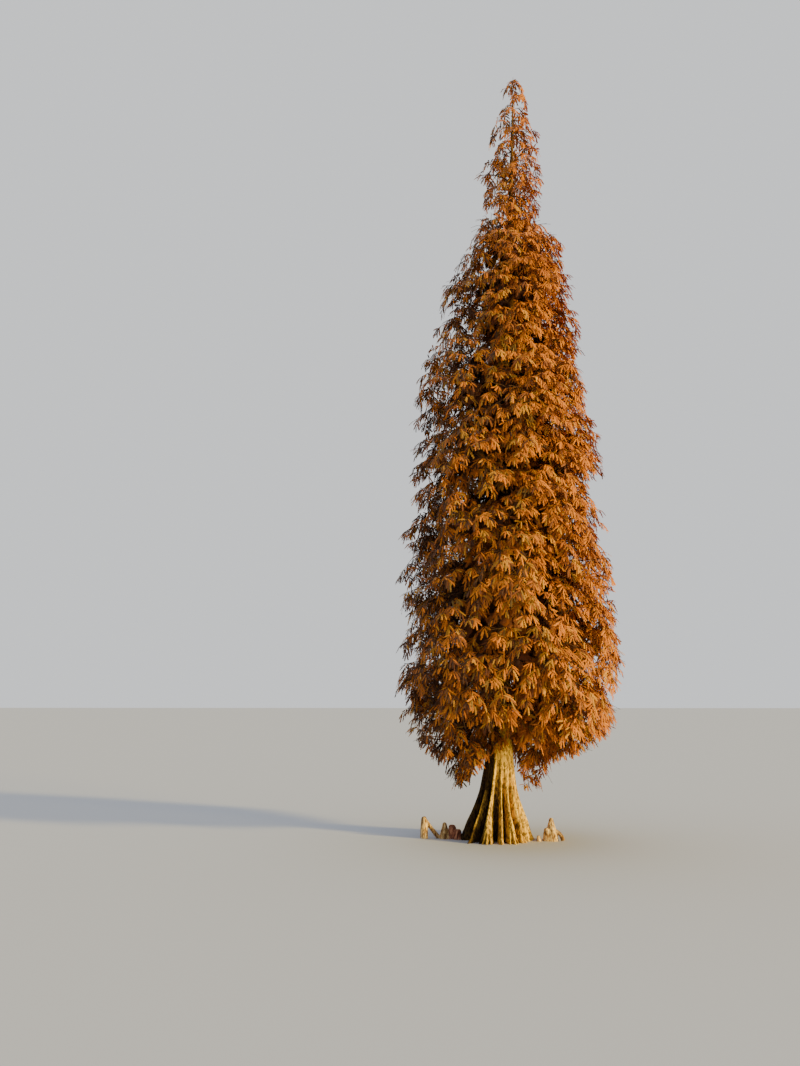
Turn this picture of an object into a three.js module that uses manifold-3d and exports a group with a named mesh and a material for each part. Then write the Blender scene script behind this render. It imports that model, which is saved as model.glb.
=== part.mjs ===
// A bald cypress in autumn, rooted in level ground, in millimetres with +Z up.
// The origin is the middle of the flat cut under its trunk, and -Y faces the viewer.
// A whole trunk stands on a flared, ribbed foot, with knees beside it. Boughs leave the trunk by a
// rising spiral, and each carries one mass of drooping sprays that fills its own share of the crown.
import * as THREE from "three";
import { mergeVertices } from "three/addons/utils/BufferGeometryUtils.js";
import Module from "manifold-3d";

const wasm = await Module();
wasm.setup();
const { Manifold } = wasm;

// Driving dimensions
const HEIGHT = 10000;
const LEAN_AT_TOP = 470;
const GAP = 0.3; // between pieces that touch
const SEED = 5281;

// The trunk above its foot
const SHAFT_TOP = 9600;
const SHAFT_SIDES = 8;
const SHAFT_RINGS = 12;
const SHAFT_RADIUS = [[1000, 130], [1300, 119], [4000, 88], [7000, 48], [9000, 17], [SHAFT_TOP, 9]];
const SWAY = { reach: 22, waves: 2.6 };

// The flared foot: its radius at each height, and its ribs by angle, with the share of the radius
// that each stands out of the grooves and how far up it runs
const FOOT_TOP = 1250;
const FOOT_RADIUS = [
  [0, 370], [100, 350], [200, 324], [310, 283], [420, 247], [560, 213.5], [750, 186], [900, 164],
  [1070, 141], [FOOT_TOP, 121],
];
const FOOT_RINGS = [0, 80, 180, 310, 470, 660, 880, 1120, FOOT_TOP];
const GROOVE = { depth: 0.24, top: 1120 };
const RIBS = [
  { angle: 3, out: 0.36, top: 960 },
  { angle: 36, out: 0.3, top: 860 },
  { angle: 70, out: 0.36, top: 1040 },
  { angle: 104, out: 0.3, top: 820 },
  { angle: 134, out: 0.34, top: 980 },
  { angle: 164, out: 0.3, top: 900 },
  { angle: 194, out: 0.38, top: 1090 },
  { angle: 224, out: 0.34, top: 860 },
  { angle: 252, out: 0.44, top: 1110 },
  { angle: 277, out: 0.32, top: 1060 },
  { angle: 298, out: 0.36, top: 900 },
  { angle: 319, out: 0.34, top: 1000 },
  { angle: 341, out: 0.3, top: 840 },
];

// The crown's reach from the trunk's middle line, to the left and to the right, at each height
const CROWN_REACH = [
  { at: 600, left: 420, right: 380 },
  { at: 760, left: 680, right: 620 },
  { at: 1030, left: 980, right: 1140 },
  { at: 1200, left: 1170, right: 1330 },
  { at: 2000, left: 1340, right: 1450 },
  { at: 3000, left: 1270, right: 1310 },
  { at: 4000, left: 1270, right: 1150 },
  { at: 4800, left: 1260, right: 1140 },
  { at: 5500, left: 1150, right: 970 },
  { at: 6300, left: 980, right: 900 },
  { at: 7050, left: 880, right: 850 },
  { at: 7400, left: 650, right: 690 },
  { at: 7600, left: 580, right: 500 },
  { at: 7850, left: 500, right: 400 },
  { at: 8200, left: 480, right: 390 },
  { at: 8900, left: 440, right: 340 },
  { at: 9400, left: 240, right: 250 },
  { at: 9750, left: 150, right: 170 },
  { at: HEIGHT, left: 40, right: 70 },
];
// The crown's underside is higher before and behind the trunk than at its sides
const UNDERSIDE = { sides: 640, front: 1080 };

// Limbs
const LIMBS = 39;
const FIRST_LIMB = 1290;
const CROWDING = 1.15; // of the limbs towards the crown's foot
const LAST_LIMB = 9330;
const TURN = Math.PI * (3 - Math.sqrt(5)); // the golden angle between one limb and the next
const FIRST_TURN = 3.5;
const RISE = { lowest: 0.02, highest: 0.8 }; // slope where a limb leaves the trunk
const DROOP = { lowest: 0.48, highest: 0.56, power: 2.2 }; // fall at its tip, as a share of its length
const VARY = { start: 45, angle: 0.22, rise: 0.06, droop: 0.05, swerve: 0.12, shortest: 0.88 };
const BOUGHS = 12; // the lowest limbs show a bare bough before their foliage
const BOUGH_SHARE = 0.3; // of a limb's length
const LIMB_STEPS = 8;
const LIMB_RADIUS = { lowest: 27, highest: 8 };
const BOUGH_SIDES = 6;
const BOUGH_RINGS = 3;

// Foliage: how clear a mass keeps of its neighbours' space, of their limbs and of the trunk
const CLEAR = { space: 16, limbs: { lowest: 46, highest: 20 }, trunk: { lowest: 50, highest: 16 } };
// A core's middle is a share along its limb. Its tufts and hollows are shares of the free way out
// from there, with shallower hollows towards the next mass. Low masses have the finest cores.
const CORE = { at: 0.6, atTop: 0.3, tuft: 0.88, hollow: 0.58, beside: 0.72, hang: 0.16 };
const CORE_DETAIL = [{ below: 0.36, detail: 3 }, { below: 0.86, detail: 2 }, { below: 2, detail: 1 }];
const SEARCH = { step: 25, most: 1000, least: 24 };
const STEM = { to: 0.95, sides: 4, rings: 4, thinner: 0.86 };
const SPRAY = { length: 520, width: 420, thick: 18, clear: 24, most: 4, fewest: 1 };
const SPRAY_RIM = [[0, 0], [0.78, 1], [0.6, 0.3], [1, 0], [0.62, -0.3], [0.84, -0.96]];
const SPRAY_SIZES = [1, 0.85, 0.7, 0.55];
const TWIG = { sides: 3, radius: 11, taper: 0.55 };
const SLIVER = 3; // the shortest edge that a finished mass keeps

// Knees: upright cones with rounded tops, and low arms that run from them
const KNEES = {
  knee_left_outer: {
    cones: [{ x: -825, y: -60, height: 240, base: 46, top: 25 }],
    arms: [{ from: [-805, -58, 190], by: [-735, -50, 95], to: [-655, -40, 5], radius: 24 }],
  },
  knee_left_middle: { cones: [{ x: -590, y: -50, height: 178, base: 62, top: 12 }], arms: [] },
  knee_left_inner: {
    cones: [
      { x: -508, y: -30, height: 150, base: 58, top: 34 },
      { x: -444, y: -80, height: 110, base: 52, top: 30 },
    ],
    arms: [],
  },
  knee_right: {
    cones: [
      { x: 612, y: -60, height: 245, base: 78, top: 18 },
      { x: 560, y: -85, height: 140, base: 46, top: 24 },
    ],
    arms: [{ from: [640, -66, 110], by: [700, -80, 78], to: [735, -92, 5], radius: 22 }],
  },
  knee_right_small: { cones: [{ x: 462, y: -120, height: 62, base: 26, top: 12 }], arms: [] },
};
const KNEE_SIDES = 8;
const KNEE_FLARE = [[-0.1, 1], [0.12, 0.86], [0.5, 0.45], [0.85, 0.12]]; // by share of its height
const ARM_SIDES = 6;
const ARM_SWELL = [0.8, 1, 1.15];

const TAU = 2 * Math.PI;
const UP = new THREE.Vector3(0, 0, 1);
const radians = THREE.MathUtils.degToRad;
const { lerp, clamp } = THREE.MathUtils;
const vector = (x, y, z) => new THREE.Vector3(x, y, z);

// A stream of numbers from 0 to 1 that is the same on every run.
function randomStream(seed) {
  let state = seed >>> 0;
  return () => {
    state = (state + 0x6d2b79f5) >>> 0;
    let mixed = Math.imul(state ^ (state >>> 15), state | 1);
    mixed ^= mixed + Math.imul(mixed ^ (mixed >>> 7), mixed | 61);
    return ((mixed ^ (mixed >>> 14)) >>> 0) / 4294967296;
  };
}

// Reads a list of [position, value] pairs at any position, straight between them.
function read(pairs, position) {
  const next = pairs.findIndex(([at]) => at >= position);
  if (next === 0) return pairs[0][1];
  if (next < 0) return pairs[pairs.length - 1][1];
  const [a, low] = pairs[next - 1];
  const [b, high] = pairs[next];
  return lerp(low, high, (position - a) / (b - a));
}

const LEFT_REACH = CROWN_REACH.map(({ at, left }) => [at, left]);
const RIGHT_REACH = CROWN_REACH.map(({ at, right }) => [at, right]);

// A closed skin over rings of points that run anticlockwise round the way of travel. Each end is
// flat, or comes to the point given for it.
function skin(rings, startPoint = null, endPoint = null) {
  const sides = rings[0].length;
  const points = rings.flat();
  const faces = [];
  for (let r = 0; r + 1 < rings.length; r++) {
    for (let k = 0; k < sides; k++) {
      const a = r * sides + k;
      const b = r * sides + ((k + 1) % sides);
      faces.push([a, b, b + sides], [a, b + sides, a + sides]);
    }
  }
  const close = (first, point, isEnd) => {
    const ring = points.slice(first, first + sides);
    const turn = ([a, b, c]) => faces.push(isEnd ? [a, b, c] : [a, c, b]);
    if (point) {
      const tip = points.push(point) - 1;
      ring.forEach((_, k) => turn([first + k, first + ((k + 1) % sides), tip]));
      return;
    }
    const middle = ring.reduce((sum, p) => sum.add(p), vector(0, 0, 0)).divideScalar(sides);
    const normal = vector(0, 0, 0);
    ring.forEach((p, k) => {
      normal.add(p.clone().sub(middle).cross(ring[(k + 1) % sides].clone().sub(middle)));
    });
    normal.normalize();
    const along = ring[0].clone().sub(middle).projectOnPlane(normal).normalize();
    const across = normal.clone().cross(along);
    const flat = ring.map((p) => {
      const arm = p.clone().sub(middle);
      return new THREE.Vector2(arm.dot(along), arm.dot(across));
    });
    THREE.ShapeUtils.triangulateShape(flat, []).forEach((t) => turn(t.map((k) => first + k)));
  };
  close(0, startPoint, false);
  close((rings.length - 1) * sides, endPoint, true);
  return new THREE.BufferGeometry().setFromPoints(points).setIndex(faces.flat());
}

function toSolid(geometry) {
  const bare = geometry.clone();
  bare.deleteAttribute("normal");
  bare.deleteAttribute("uv");
  const merged = mergeVertices(bare, 1e-3);
  return new Manifold(
    new wasm.Mesh({
      numProp: 3,
      vertProperties: new Float32Array(merged.attributes.position.array),
      triVerts: new Uint32Array(merged.index.array),
    }),
  );
}

// The largest of a solid's separate bodies, as a geometry, so that no loose scrap is kept.
function toGeometry(solid) {
  const bodies = solid.decompose();
  const body = bodies.reduce((best, one) => (one.volume() > best.volume() ? one : best));
  const { vertProperties, numProp, triVerts, numVert } = body.getMesh();
  const position = new Float32Array(numVert * 3);
  for (let i = 0; i < numVert; i++) {
    position.set(vertProperties.subarray(i * numProp, i * numProp + 3), i * 3);
  }
  return new THREE.BufferGeometry()
    .setAttribute("position", new THREE.BufferAttribute(position, 3))
    .setIndex(new THREE.BufferAttribute(new Uint32Array(triVerts), 1));
}

// The trunk's middle line: it leans evenly and sways a little.
function trunkMiddle(z) {
  const t = z / HEIGHT;
  const sway = SWAY.reach * Math.sin(TAU * SWAY.waves * t) * Math.min(1, 4 * t) * (1 - t);
  return vector(LEAN_AT_TOP * t + sway, 0.6 * SWAY.reach * Math.sin(TAU * 1.7 * t) * (1 - t), z);
}

const shaftRadius = (z) => read(SHAFT_RADIUS, z);

// The rib nearest to an angle, and how far off its crest that angle is, from 0 there to 1 in the
// groove on either side.
function nearestRib(angle) {
  const turn = THREE.MathUtils.euclideanModulo(THREE.MathUtils.radToDeg(angle), 360);
  const at = RIBS.findLastIndex((rib) => rib.angle <= turn);
  const before = RIBS[(at + RIBS.length) % RIBS.length];
  const after = RIBS[(at + 1) % RIBS.length];
  const gap = THREE.MathUtils.euclideanModulo(after.angle - before.angle, 360);
  const past = THREE.MathUtils.euclideanModulo(turn - before.angle, 360) / gap;
  return past < 0.5 ? { rib: before, off: 2 * past } : { rib: after, off: 2 - 2 * past };
}

// How far the foot's bark stands from the middle line at a height and an angle.
function footRadius(z, angle) {
  const { rib, off } = nearestRib(angle);
  const groove = GROOVE.depth * clamp(1 - z / GROOVE.top, 0, 1) ** 0.6;
  const fade = clamp(1 - z / rib.top, 0, 1) ** 0.7;
  return read(FOOT_RADIUS, z) * (1 - groove + rib.out * fade * (1 - off ** 2.2));
}

// The angles of the foot's corners: each rib's crest, its shoulders and the grooves between.
function footAngles() {
  return RIBS.flatMap(({ angle }, i) => {
    const next = i + 1 < RIBS.length ? RIBS[i + 1].angle : RIBS[0].angle + 360;
    return [0, 0.27, 0.5, 0.73].map((share) => radians(lerp(angle, next, share)));
  });
}

// The trunk. To cut its neighbours clear it is grown by a margin and runs on below the ground.
function trunkSolid(margin = 0) {
  const footRings = margin ? [-FOOT_RINGS[1], ...FOOT_RINGS] : FOOT_RINGS;
  const foot = footRings.map((z) =>
    footAngles().map((angle) => {
      const out = footRadius(Math.max(z, 0), angle) + margin;
      return trunkMiddle(z).add(vector(out * Math.cos(angle), out * Math.sin(angle), 0));
    }),
  );
  const shaft = Array.from({ length: SHAFT_RINGS }, (_, i) => {
    const z = lerp(1000, SHAFT_TOP + margin, i / (SHAFT_RINGS - 1));
    return Array.from({ length: SHAFT_SIDES }, (__, k) => {
      const angle = (TAU * k) / SHAFT_SIDES;
      const out = shaftRadius(z) + margin;
      return trunkMiddle(z).add(vector(out * Math.cos(angle), out * Math.sin(angle), 0));
    });
  });
  return toSolid(skin(foot)).add(toSolid(skin(shaft)));
}

// The crown's reach at a height, towards an angle round the trunk.
function crownReach(z, angle) {
  const left = read(LEFT_REACH, z);
  const right = read(RIGHT_REACH, z);
  return (left + right) / 2 + ((right - left) / 2) * Math.cos(angle);
}

function insideCrown(point) {
  const middle = trunkMiddle(clamp(point.z, 0, HEIGHT));
  const angle = Math.atan2(point.y - middle.y, point.x - middle.x);
  const out = Math.hypot(point.x - middle.x, point.y - middle.y);
  const floor = lerp(UNDERSIDE.front, UNDERSIDE.sides, Math.cos(angle) ** 2);
  return point.z > floor && point.z < HEIGHT && out < crownReach(point.z, angle);
}

// One limb: a curve that rises from the trunk and bends down to its tip at the crown's reach.
function makeLimb(index) {
  const random = randomStream(SEED + 97 * index);
  const vary = (most) => lerp(-most, most, random());
  const share = index / (LIMBS - 1);
  const start = lerp(FIRST_LIMB, LAST_LIMB, share ** CROWDING) + vary(VARY.start);
  const angle = FIRST_TURN + index * TURN + vary(VARY.angle);
  const rise = lerp(RISE.lowest, RISE.highest, share ** 0.7) + vary(VARY.rise);
  const droop = lerp(DROOP.lowest, DROOP.highest, share) + vary(VARY.droop);
  const swerve = vary(VARY.swerve);
  const fullness = lerp(VARY.shortest, 1, random());
  let length = crownReach(start, angle) * fullness;
  for (let pass = 0; pass < 6; pass++) {
    length = crownReach(start + length * (rise - droop), angle) * fullness;
  }
  const root = trunkMiddle(start);
  const outward = vector(Math.cos(angle), Math.sin(angle), 0);
  const sideways = UP.clone().cross(outward);
  const at = (s) =>
    root
      .clone()
      .addScaledVector(outward, length * s)
      .addScaledVector(sideways, length * swerve * s * s)
      .addScaledVector(UP, length * (rise * s - droop * s ** DROOP.power));
  return { index, share, length, at, bough: index < BOUGHS };
}

// The last limb is the leader, which carries the trunk on to the tip.
function makeLeader() {
  const foot = trunkMiddle(SHAFT_TOP);
  const length = HEIGHT - SHAFT_TOP;
  const at = (s) => foot.clone().add(vector(14 * s, -6 * s, length * s));
  return { index: LIMBS, share: 1, length, at, leader: true };
}

const limbs = [...Array.from({ length: LIMBS }, (_, index) => makeLimb(index)), makeLeader()];
limbs.forEach((limb) => {
  limb.line = Array.from({ length: LIMB_STEPS + 1 }, (_, i) => limb.at(i / LIMB_STEPS));
});

function distanceToLimb(point, limb) {
  const nearest = vector(0, 0, 0);
  const edge = new THREE.Line3();
  let least = Infinity;
  for (let i = 0; i < LIMB_STEPS; i++) {
    edge.set(limb.line[i], limb.line[i + 1]).closestPointToPoint(point, true, nearest);
    least = Math.min(least, nearest.distanceTo(point));
  }
  return least;
}

// A limb's own space is every point of the crown that lies nearer to it than to any other limb.
function inOwnSpace(point, limb) {
  if (!insideCrown(point)) return false;
  const own = distanceToLimb(point, limb);
  const least = lerp(CLEAR.limbs.lowest, CLEAR.limbs.highest, limb.share);
  return limbs.every((other) => {
    if (other === limb) return true;
    const away = distanceToLimb(point, other);
    return away > own + CLEAR.space && away > least;
  });
}

function clearOfTrunk(point, clearance) {
  if (point.z > SHAFT_TOP + clearance) return true;
  const middle = trunkMiddle(point.z);
  const bark = Math.max(shaftRadius(point.z), point.z < FOOT_TOP ? read(FOOT_RADIUS, point.z) : 0);
  return Math.hypot(point.x - middle.x, point.y - middle.y) > bark + clearance;
}

// Three directions at a place along a limb: on along it, to its side, and up from it.
function limbFrame(limb, s) {
  const step = 0.01;
  const on = limb.at(s + step).sub(limb.at(Math.max(s - step, 0))).normalize();
  const side = (limb.leader ? vector(0, 1, 0).cross(on) : on.clone().cross(UP)).normalize();
  return { on, side, up: side.clone().cross(on) };
}

function ringRound(middle, { side, up }, sides, radius) {
  return Array.from({ length: sides }, (_, k) => {
    const angle = (TAU * k) / sides;
    return middle
      .clone()
      .addScaledVector(side, -radius * Math.cos(angle))
      .addScaledVector(up, radius * Math.sin(angle));
  });
}

const limbRadius = (limb, s) =>
  lerp(LIMB_RADIUS.lowest, LIMB_RADIUS.highest, limb.share) * (1 - 0.72 * s) * (limb.leader ? 0.8 : 1);

// A tapering piece of a limb, from one share of its length to another.
function limbPiece(limb, from, to, sides, rings, thinner = 1) {
  const made = Array.from({ length: rings }, (_, i) => {
    const s = lerp(from, to, i / (rings - 1));
    return ringRound(limb.at(s), limbFrame(limb, s), sides, limbRadius(limb, s) * thinner);
  });
  return toSolid(skin(made));
}

// A straight twig between two points.
function twigSolid(start, end, radius) {
  const on = end.clone().sub(start).normalize();
  const side = on.clone().cross(Math.abs(on.z) > 0.9 ? vector(1, 0, 0) : UP).normalize();
  const frame = { side, up: side.clone().cross(on) };
  const thick = ringRound(start, frame, TWIG.sides, radius);
  const thin = ringRound(end, frame, TWIG.sides, radius * TWIG.taper);
  return toSolid(skin([thick, thin]));
}

// A spray: a thin blade of needles in three drooping fingers that spread from its root to its tip.
function sprayPoints(tip, on, scale) {
  const side = on.clone().cross(Math.abs(on.z) > 0.97 ? vector(1, 0, 0) : UP).normalize();
  const face = side.clone().cross(on);
  const length = SPRAY.length * scale;
  const half = (SPRAY.width * scale) / 2;
  const place = ([along, across], out = 0) =>
    tip
      .clone()
      .addScaledVector(on, (along - 1) * length)
      .addScaledVector(side, across * half)
      .addScaledVector(face, out - 0.35 * half * across * across);
  return {
    rim: SPRAY_RIM.map((at) => place(at)),
    top: place([0.4, 0], SPRAY.thick / 2),
    under: place([0.4, 0], -SPRAY.thick / 2),
  };
}

const spraySolid = ({ rim, top, under }) => toSolid(skin([rim], under, top));

// How far a straight line from a point runs before it would leave the limb's own space, or come
// back behind the end of its bough.
function freeLength(start, way, limb) {
  const end = limb.bough ? limb.at(BOUGH_SHARE) : null;
  const on = limb.bough ? limbFrame(limb, BOUGH_SHARE).on : null;
  const clearance = lerp(CLEAR.trunk.lowest, CLEAR.trunk.highest, limb.share);
  let free = 0;
  while (free < SEARCH.most) {
    const point = start.clone().addScaledVector(way, free + SEARCH.step);
    if (end && point.clone().sub(end).dot(on) < SEARCH.step) break;
    if (!clearOfTrunk(point, clearance) || !inOwnSpace(point, limb)) break;
    free += SEARCH.step;
  }
  return Math.max(free, SEARCH.least);
}

// Picks places of a mesh at random so that no two lie side by side.
function scatteredPlaces(geometry, random) {
  const { count } = geometry.attributes.position;
  const beside = Array.from({ length: count }, () => new Set());
  for (let i = 0; i < geometry.index.count; i += 3) {
    const corners = [0, 1, 2].map((k) => geometry.index.getX(i + k));
    corners.forEach((a) => corners.forEach((b) => beside[a].add(b)));
  }
  const chosen = new Set();
  const choose = (at) => {
    if (![...beside[at]].some((b) => chosen.has(b))) chosen.add(at);
  };
  for (let i = 0; i < count; i++) choose(Math.floor(random() * count));
  for (let i = 0; i < count; i++) choose(i);
  return chosen;
}

// The dense heart of a mass: a closed body that swells out into the limb's own space, in hanging
// pointed tufts with hollows between them.
function coreSolid(limb, random) {
  const centre = limb.at(limb.leader ? CORE.atTop : CORE.at);
  const { detail } = CORE_DETAIL.find(({ below }) => limb.share < below);
  const round = new THREE.IcosahedronGeometry(1, detail);
  const ball = mergeVertices(round.deleteAttribute("normal").deleteAttribute("uv"));
  const tufts = scatteredPlaces(ball, random);
  const spin = new THREE.Euler(TAU * random(), TAU * random(), TAU * random());
  const place = ball.attributes.position;
  const way = vector(0, 0, 0);
  for (let i = 0; i < place.count; i++) {
    way.fromBufferAttribute(place, i).applyEuler(spin);
    if (tufts.has(i)) way.z -= CORE.hang;
    way.normalize();
    const free = freeLength(centre, way, limb);
    const beyond = centre.clone().addScaledVector(way, free + 2 * SEARCH.step);
    const hollow = insideCrown(beyond) ? CORE.beside : CORE.hollow;
    const out = free * (tufts.has(i) ? lerp(CORE.tuft, 1, random()) : hollow);
    place.setXYZ(i, centre.x + way.x * out, centre.y + way.y * out, centre.z + way.z * out);
  }
  return toSolid(ball);
}

// Where the sprays of a mass end and which way they point: spread all over its outer side, by a
// turn of the golden angle from one to the next.
function sprayTips(limb, random) {
  const centre = limb.at(CORE.at);
  const outward = centre.clone().sub(trunkMiddle(centre.z)).setZ(0).normalize();
  const side = UP.clone().cross(outward);
  const sprays = Math.round(lerp(SPRAY.most, SPRAY.fewest, limb.share));
  return Array.from({ length: sprays }, (_, i) => {
    const turn = limb.index + i * TURN;
    const off = lerp(0.1, 1.35, Math.sqrt((i + 0.5) / sprays));
    const way = outward
      .clone()
      .multiplyScalar(Math.cos(off))
      .addScaledVector(side, Math.sin(off) * Math.cos(turn))
      .addScaledVector(UP, Math.sin(off) * Math.sin(turn));
    const tip = centre.clone().addScaledVector(way, freeLength(centre, way, limb) * lerp(0.94, 1, random()));
    const on = way
      .clone()
      .multiplyScalar(0.6)
      .addScaledVector(outward, 0.4)
      .addScaledVector(side, lerp(-0.35, 0.35, random()))
      .addScaledVector(UP, -lerp(0.35, 0.7, random()))
      .normalize();
    return { tip, on };
  });
}

// One mass: its stem, its core, and sprays on twigs that leave the stem in turn. A spray that would
// leave the mass's own space is tried smaller, then skipped.
function foliageSolid(limb) {
  const random = randomStream(SEED + 97 * limb.index + 31);
  const from = limb.bough ? BOUGH_SHARE : 0;
  const gap = limb.bough || limb.leader ? GAP / limb.length : 0;
  const stem = limbPiece(limb, from + gap, STEM.to, STEM.sides, STEM.rings, STEM.thinner);
  const pieces = [stem, coreSolid(limb, random)];
  const clear = (point) => clearOfTrunk(point, SPRAY.clear) && inOwnSpace(point, limb);
  const scale = lerp(1.15, 0.5, limb.share) * (limb.leader ? 0.5 : 1);
  sprayTips(limb, random).forEach(({ tip, on }) => {
    const spray = SPRAY_SIZES.map((share) => sprayPoints(tip, on, scale * share)).find(({ rim }) =>
      rim.every(clear),
    );
    if (!spray) return;
    const near = limb.at(lerp(0.5, 0.85, random()));
    const held = spray.rim[0].clone().addScaledVector(on, 0.1 * SPRAY.length * scale);
    pieces.push(spraySolid(spray), twigSolid(near, held, TWIG.radius * scale));
  });
  return Manifold.union(pieces).simplify(SLIVER);
}

// A knee: cones with rounded tops, and arms that bend from one down to the ground. Its pieces run
// on below the ground and are cut flat there together.
function kneeSolid({ cones, arms }, margin = 0) {
  const cone = ({ x, y, height, base, top }) => {
    const rings = KNEE_FLARE.map(([share, flare]) =>
      Array.from({ length: KNEE_SIDES }, (_, k) => {
        const angle = (TAU * (k + 0.5)) / KNEE_SIDES;
        const out = lerp(top, base, flare) * (k % 2 ? 0.9 : 1.06) + margin;
        return vector(x + out * Math.cos(angle), y + out * Math.sin(angle), share * height);
      }),
    );
    return toSolid(skin(rings, null, vector(x, y, height + margin)));
  };
  const arm = ({ from, by, to, radius }) => {
    const points = [from, by, to].map((place) => vector(...place));
    const on = points[2].clone().sub(points[0]).normalize();
    const side = on.clone().cross(UP).normalize();
    const frame = { side, up: side.clone().cross(on) };
    const rings = points.map((middle, i) =>
      ringRound(middle, frame, ARM_SIDES, (radius + margin) * ARM_SWELL[i]),
    );
    return toSolid(skin(rings));
  };
  return Manifold.union([...cones.map(cone), ...arms.map(arm)]).trimByPlane([0, 0, 1], 0);
}

// Assembly
const cypress = new THREE.Group();
const bark = new THREE.MeshStandardMaterial({ color: 0xa88a5e, roughness: 0.9, metalness: 0 });
const limbBark = new THREE.MeshStandardMaterial({ color: 0x6b4a32, roughness: 0.9, metalness: 0 });
const rust = new THREE.MeshStandardMaterial({ color: 0xb5591c, roughness: 0.75, metalness: 0 });

function addPiece(name, solid, material) {
  const mesh = new THREE.Mesh(toGeometry(solid), material);
  mesh.name = name;
  cypress.add(mesh);
}

const number = (index) => String(index + 1).padStart(2, "0");
const trunkCutter = trunkSolid(GAP);
addPiece("trunk", trunkSolid(), bark);
limbs
  .filter((limb) => limb.bough)
  .forEach((limb) => {
    const bough = limbPiece(limb, 0, BOUGH_SHARE, BOUGH_SIDES, BOUGH_RINGS);
    addPiece(`bough_${number(limb.index)}`, bough.subtract(trunkCutter), limbBark);
  });
limbs.forEach((limb) => {
  const name = limb.leader ? "foliage_top" : `foliage_${number(limb.index)}`;
  addPiece(name, foliageSolid(limb).subtract(trunkCutter), rust);
});
let cutter = trunkCutter;
Object.entries(KNEES).forEach(([name, knee]) => {
  addPiece(name, kneeSolid(knee).subtract(cutter), bark);
  cutter = cutter.add(kneeSolid(knee, GAP));
});

export default cypress;
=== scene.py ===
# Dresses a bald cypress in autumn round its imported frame. Metres, +Z up, and -Y faces the viewer.
# The limbs follow the rule of the part's source, with the same seeds. Branches grow from them to knots,
# twigs from those to their tips, then side twigs and flat sprays of needles, inside the source's reach.
import math

import bpy
import numpy as np
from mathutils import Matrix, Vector


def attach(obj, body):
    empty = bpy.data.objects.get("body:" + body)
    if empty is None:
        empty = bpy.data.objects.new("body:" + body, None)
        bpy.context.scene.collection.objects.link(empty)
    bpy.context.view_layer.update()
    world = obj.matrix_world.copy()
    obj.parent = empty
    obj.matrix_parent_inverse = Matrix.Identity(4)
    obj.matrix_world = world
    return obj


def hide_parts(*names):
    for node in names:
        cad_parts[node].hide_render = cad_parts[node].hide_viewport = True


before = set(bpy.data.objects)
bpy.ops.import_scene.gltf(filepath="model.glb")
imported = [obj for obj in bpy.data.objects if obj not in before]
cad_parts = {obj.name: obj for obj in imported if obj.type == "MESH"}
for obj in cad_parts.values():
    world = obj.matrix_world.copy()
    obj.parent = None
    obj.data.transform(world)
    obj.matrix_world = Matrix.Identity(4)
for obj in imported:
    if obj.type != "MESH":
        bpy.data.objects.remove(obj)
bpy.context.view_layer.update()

TAU = 2 * math.pi
UP = np.array([0.0, 0.0, 1.0])

# Sizes and rules that the part's source also holds
HEIGHT = 10.0
LEAN_AT_TOP = 0.47
SWAY = {"reach": 0.022, "waves": 2.6, "across": 0.6, "across_waves": 1.7}
SEED = 5281
LIMB_SEEDS = 97  # from one limb's seed to the next
SHAFT_TOP = 9.6
SHAFT_RADIUS = [(1.0, 0.13), (1.3, 0.119), (4.0, 0.088), (7.0, 0.048), (9.0, 0.017), (SHAFT_TOP, 0.009)]
FOOT_TOP = 1.25
FOOT_RADIUS = [
    (0, 0.37), (0.1, 0.35), (0.2, 0.324), (0.31, 0.283), (0.42, 0.247), (0.56, 0.2135), (0.75, 0.186),
    (0.9, 0.164), (1.07, 0.141), (FOOT_TOP, 0.121),
]
GROOVE = {"depth": 0.24, "top": 1.12}
RIBS = [  # angle, share that it stands out, height that it runs to
    (3, 0.36, 0.96), (36, 0.3, 0.86), (70, 0.36, 1.04), (104, 0.3, 0.82), (134, 0.34, 0.98), (164, 0.3, 0.9),
    (194, 0.38, 1.09), (224, 0.34, 0.86), (252, 0.44, 1.11), (277, 0.32, 1.06), (298, 0.36, 0.9),
    (319, 0.34, 1.0), (341, 0.3, 0.84),
]
CROWN_REACH = [  # height, reach to the left, reach to the right
    (0.6, 0.42, 0.38), (0.76, 0.68, 0.62), (1.03, 0.98, 1.14), (1.2, 1.17, 1.33), (2.0, 1.34, 1.45),
    (3.0, 1.27, 1.31), (4.0, 1.27, 1.15), (4.8, 1.26, 1.14), (5.5, 1.15, 0.97), (6.3, 0.98, 0.9),
    (7.05, 0.88, 0.85), (7.4, 0.65, 0.69), (7.6, 0.58, 0.5), (7.85, 0.5, 0.4), (8.2, 0.48, 0.39),
    (8.9, 0.44, 0.34), (9.4, 0.24, 0.25), (9.75, 0.15, 0.17), (HEIGHT, 0.04, 0.07),
]
UNDERSIDE = {"sides": 0.64, "front": 1.08}
LIMBS = 39
FIRST_LIMB = 1.29
LAST_LIMB = 9.33
CROWDING = 1.15  # of the limbs towards the crown's foot
TURN = math.pi * (3 - math.sqrt(5))  # from one limb to the next
FIRST_TURN = 3.5
RISE = (0.02, 0.8)  # slope where the lowest and the highest limb leave the trunk
DROOP = (0.48, 0.56)  # fall at their tips, as a share of the length
DROOP_POWER = 2.2
VARY = {"start": 0.045, "angle": 0.22, "rise": 0.06, "droop": 0.05, "swerve": 0.12, "shortest": 0.88}
LENGTH_PASSES = 6
BOUGHS = 12
BOUGH_SHARE = 0.3
LIMB_STEPS = 8
LIMB_RADIUS = (0.027, 0.008)  # of the lowest and the highest limb
LIMB_TAPER = 0.72
LEADER = {"lean": (0.014, -0.006), "thinner": 0.8}
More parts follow.
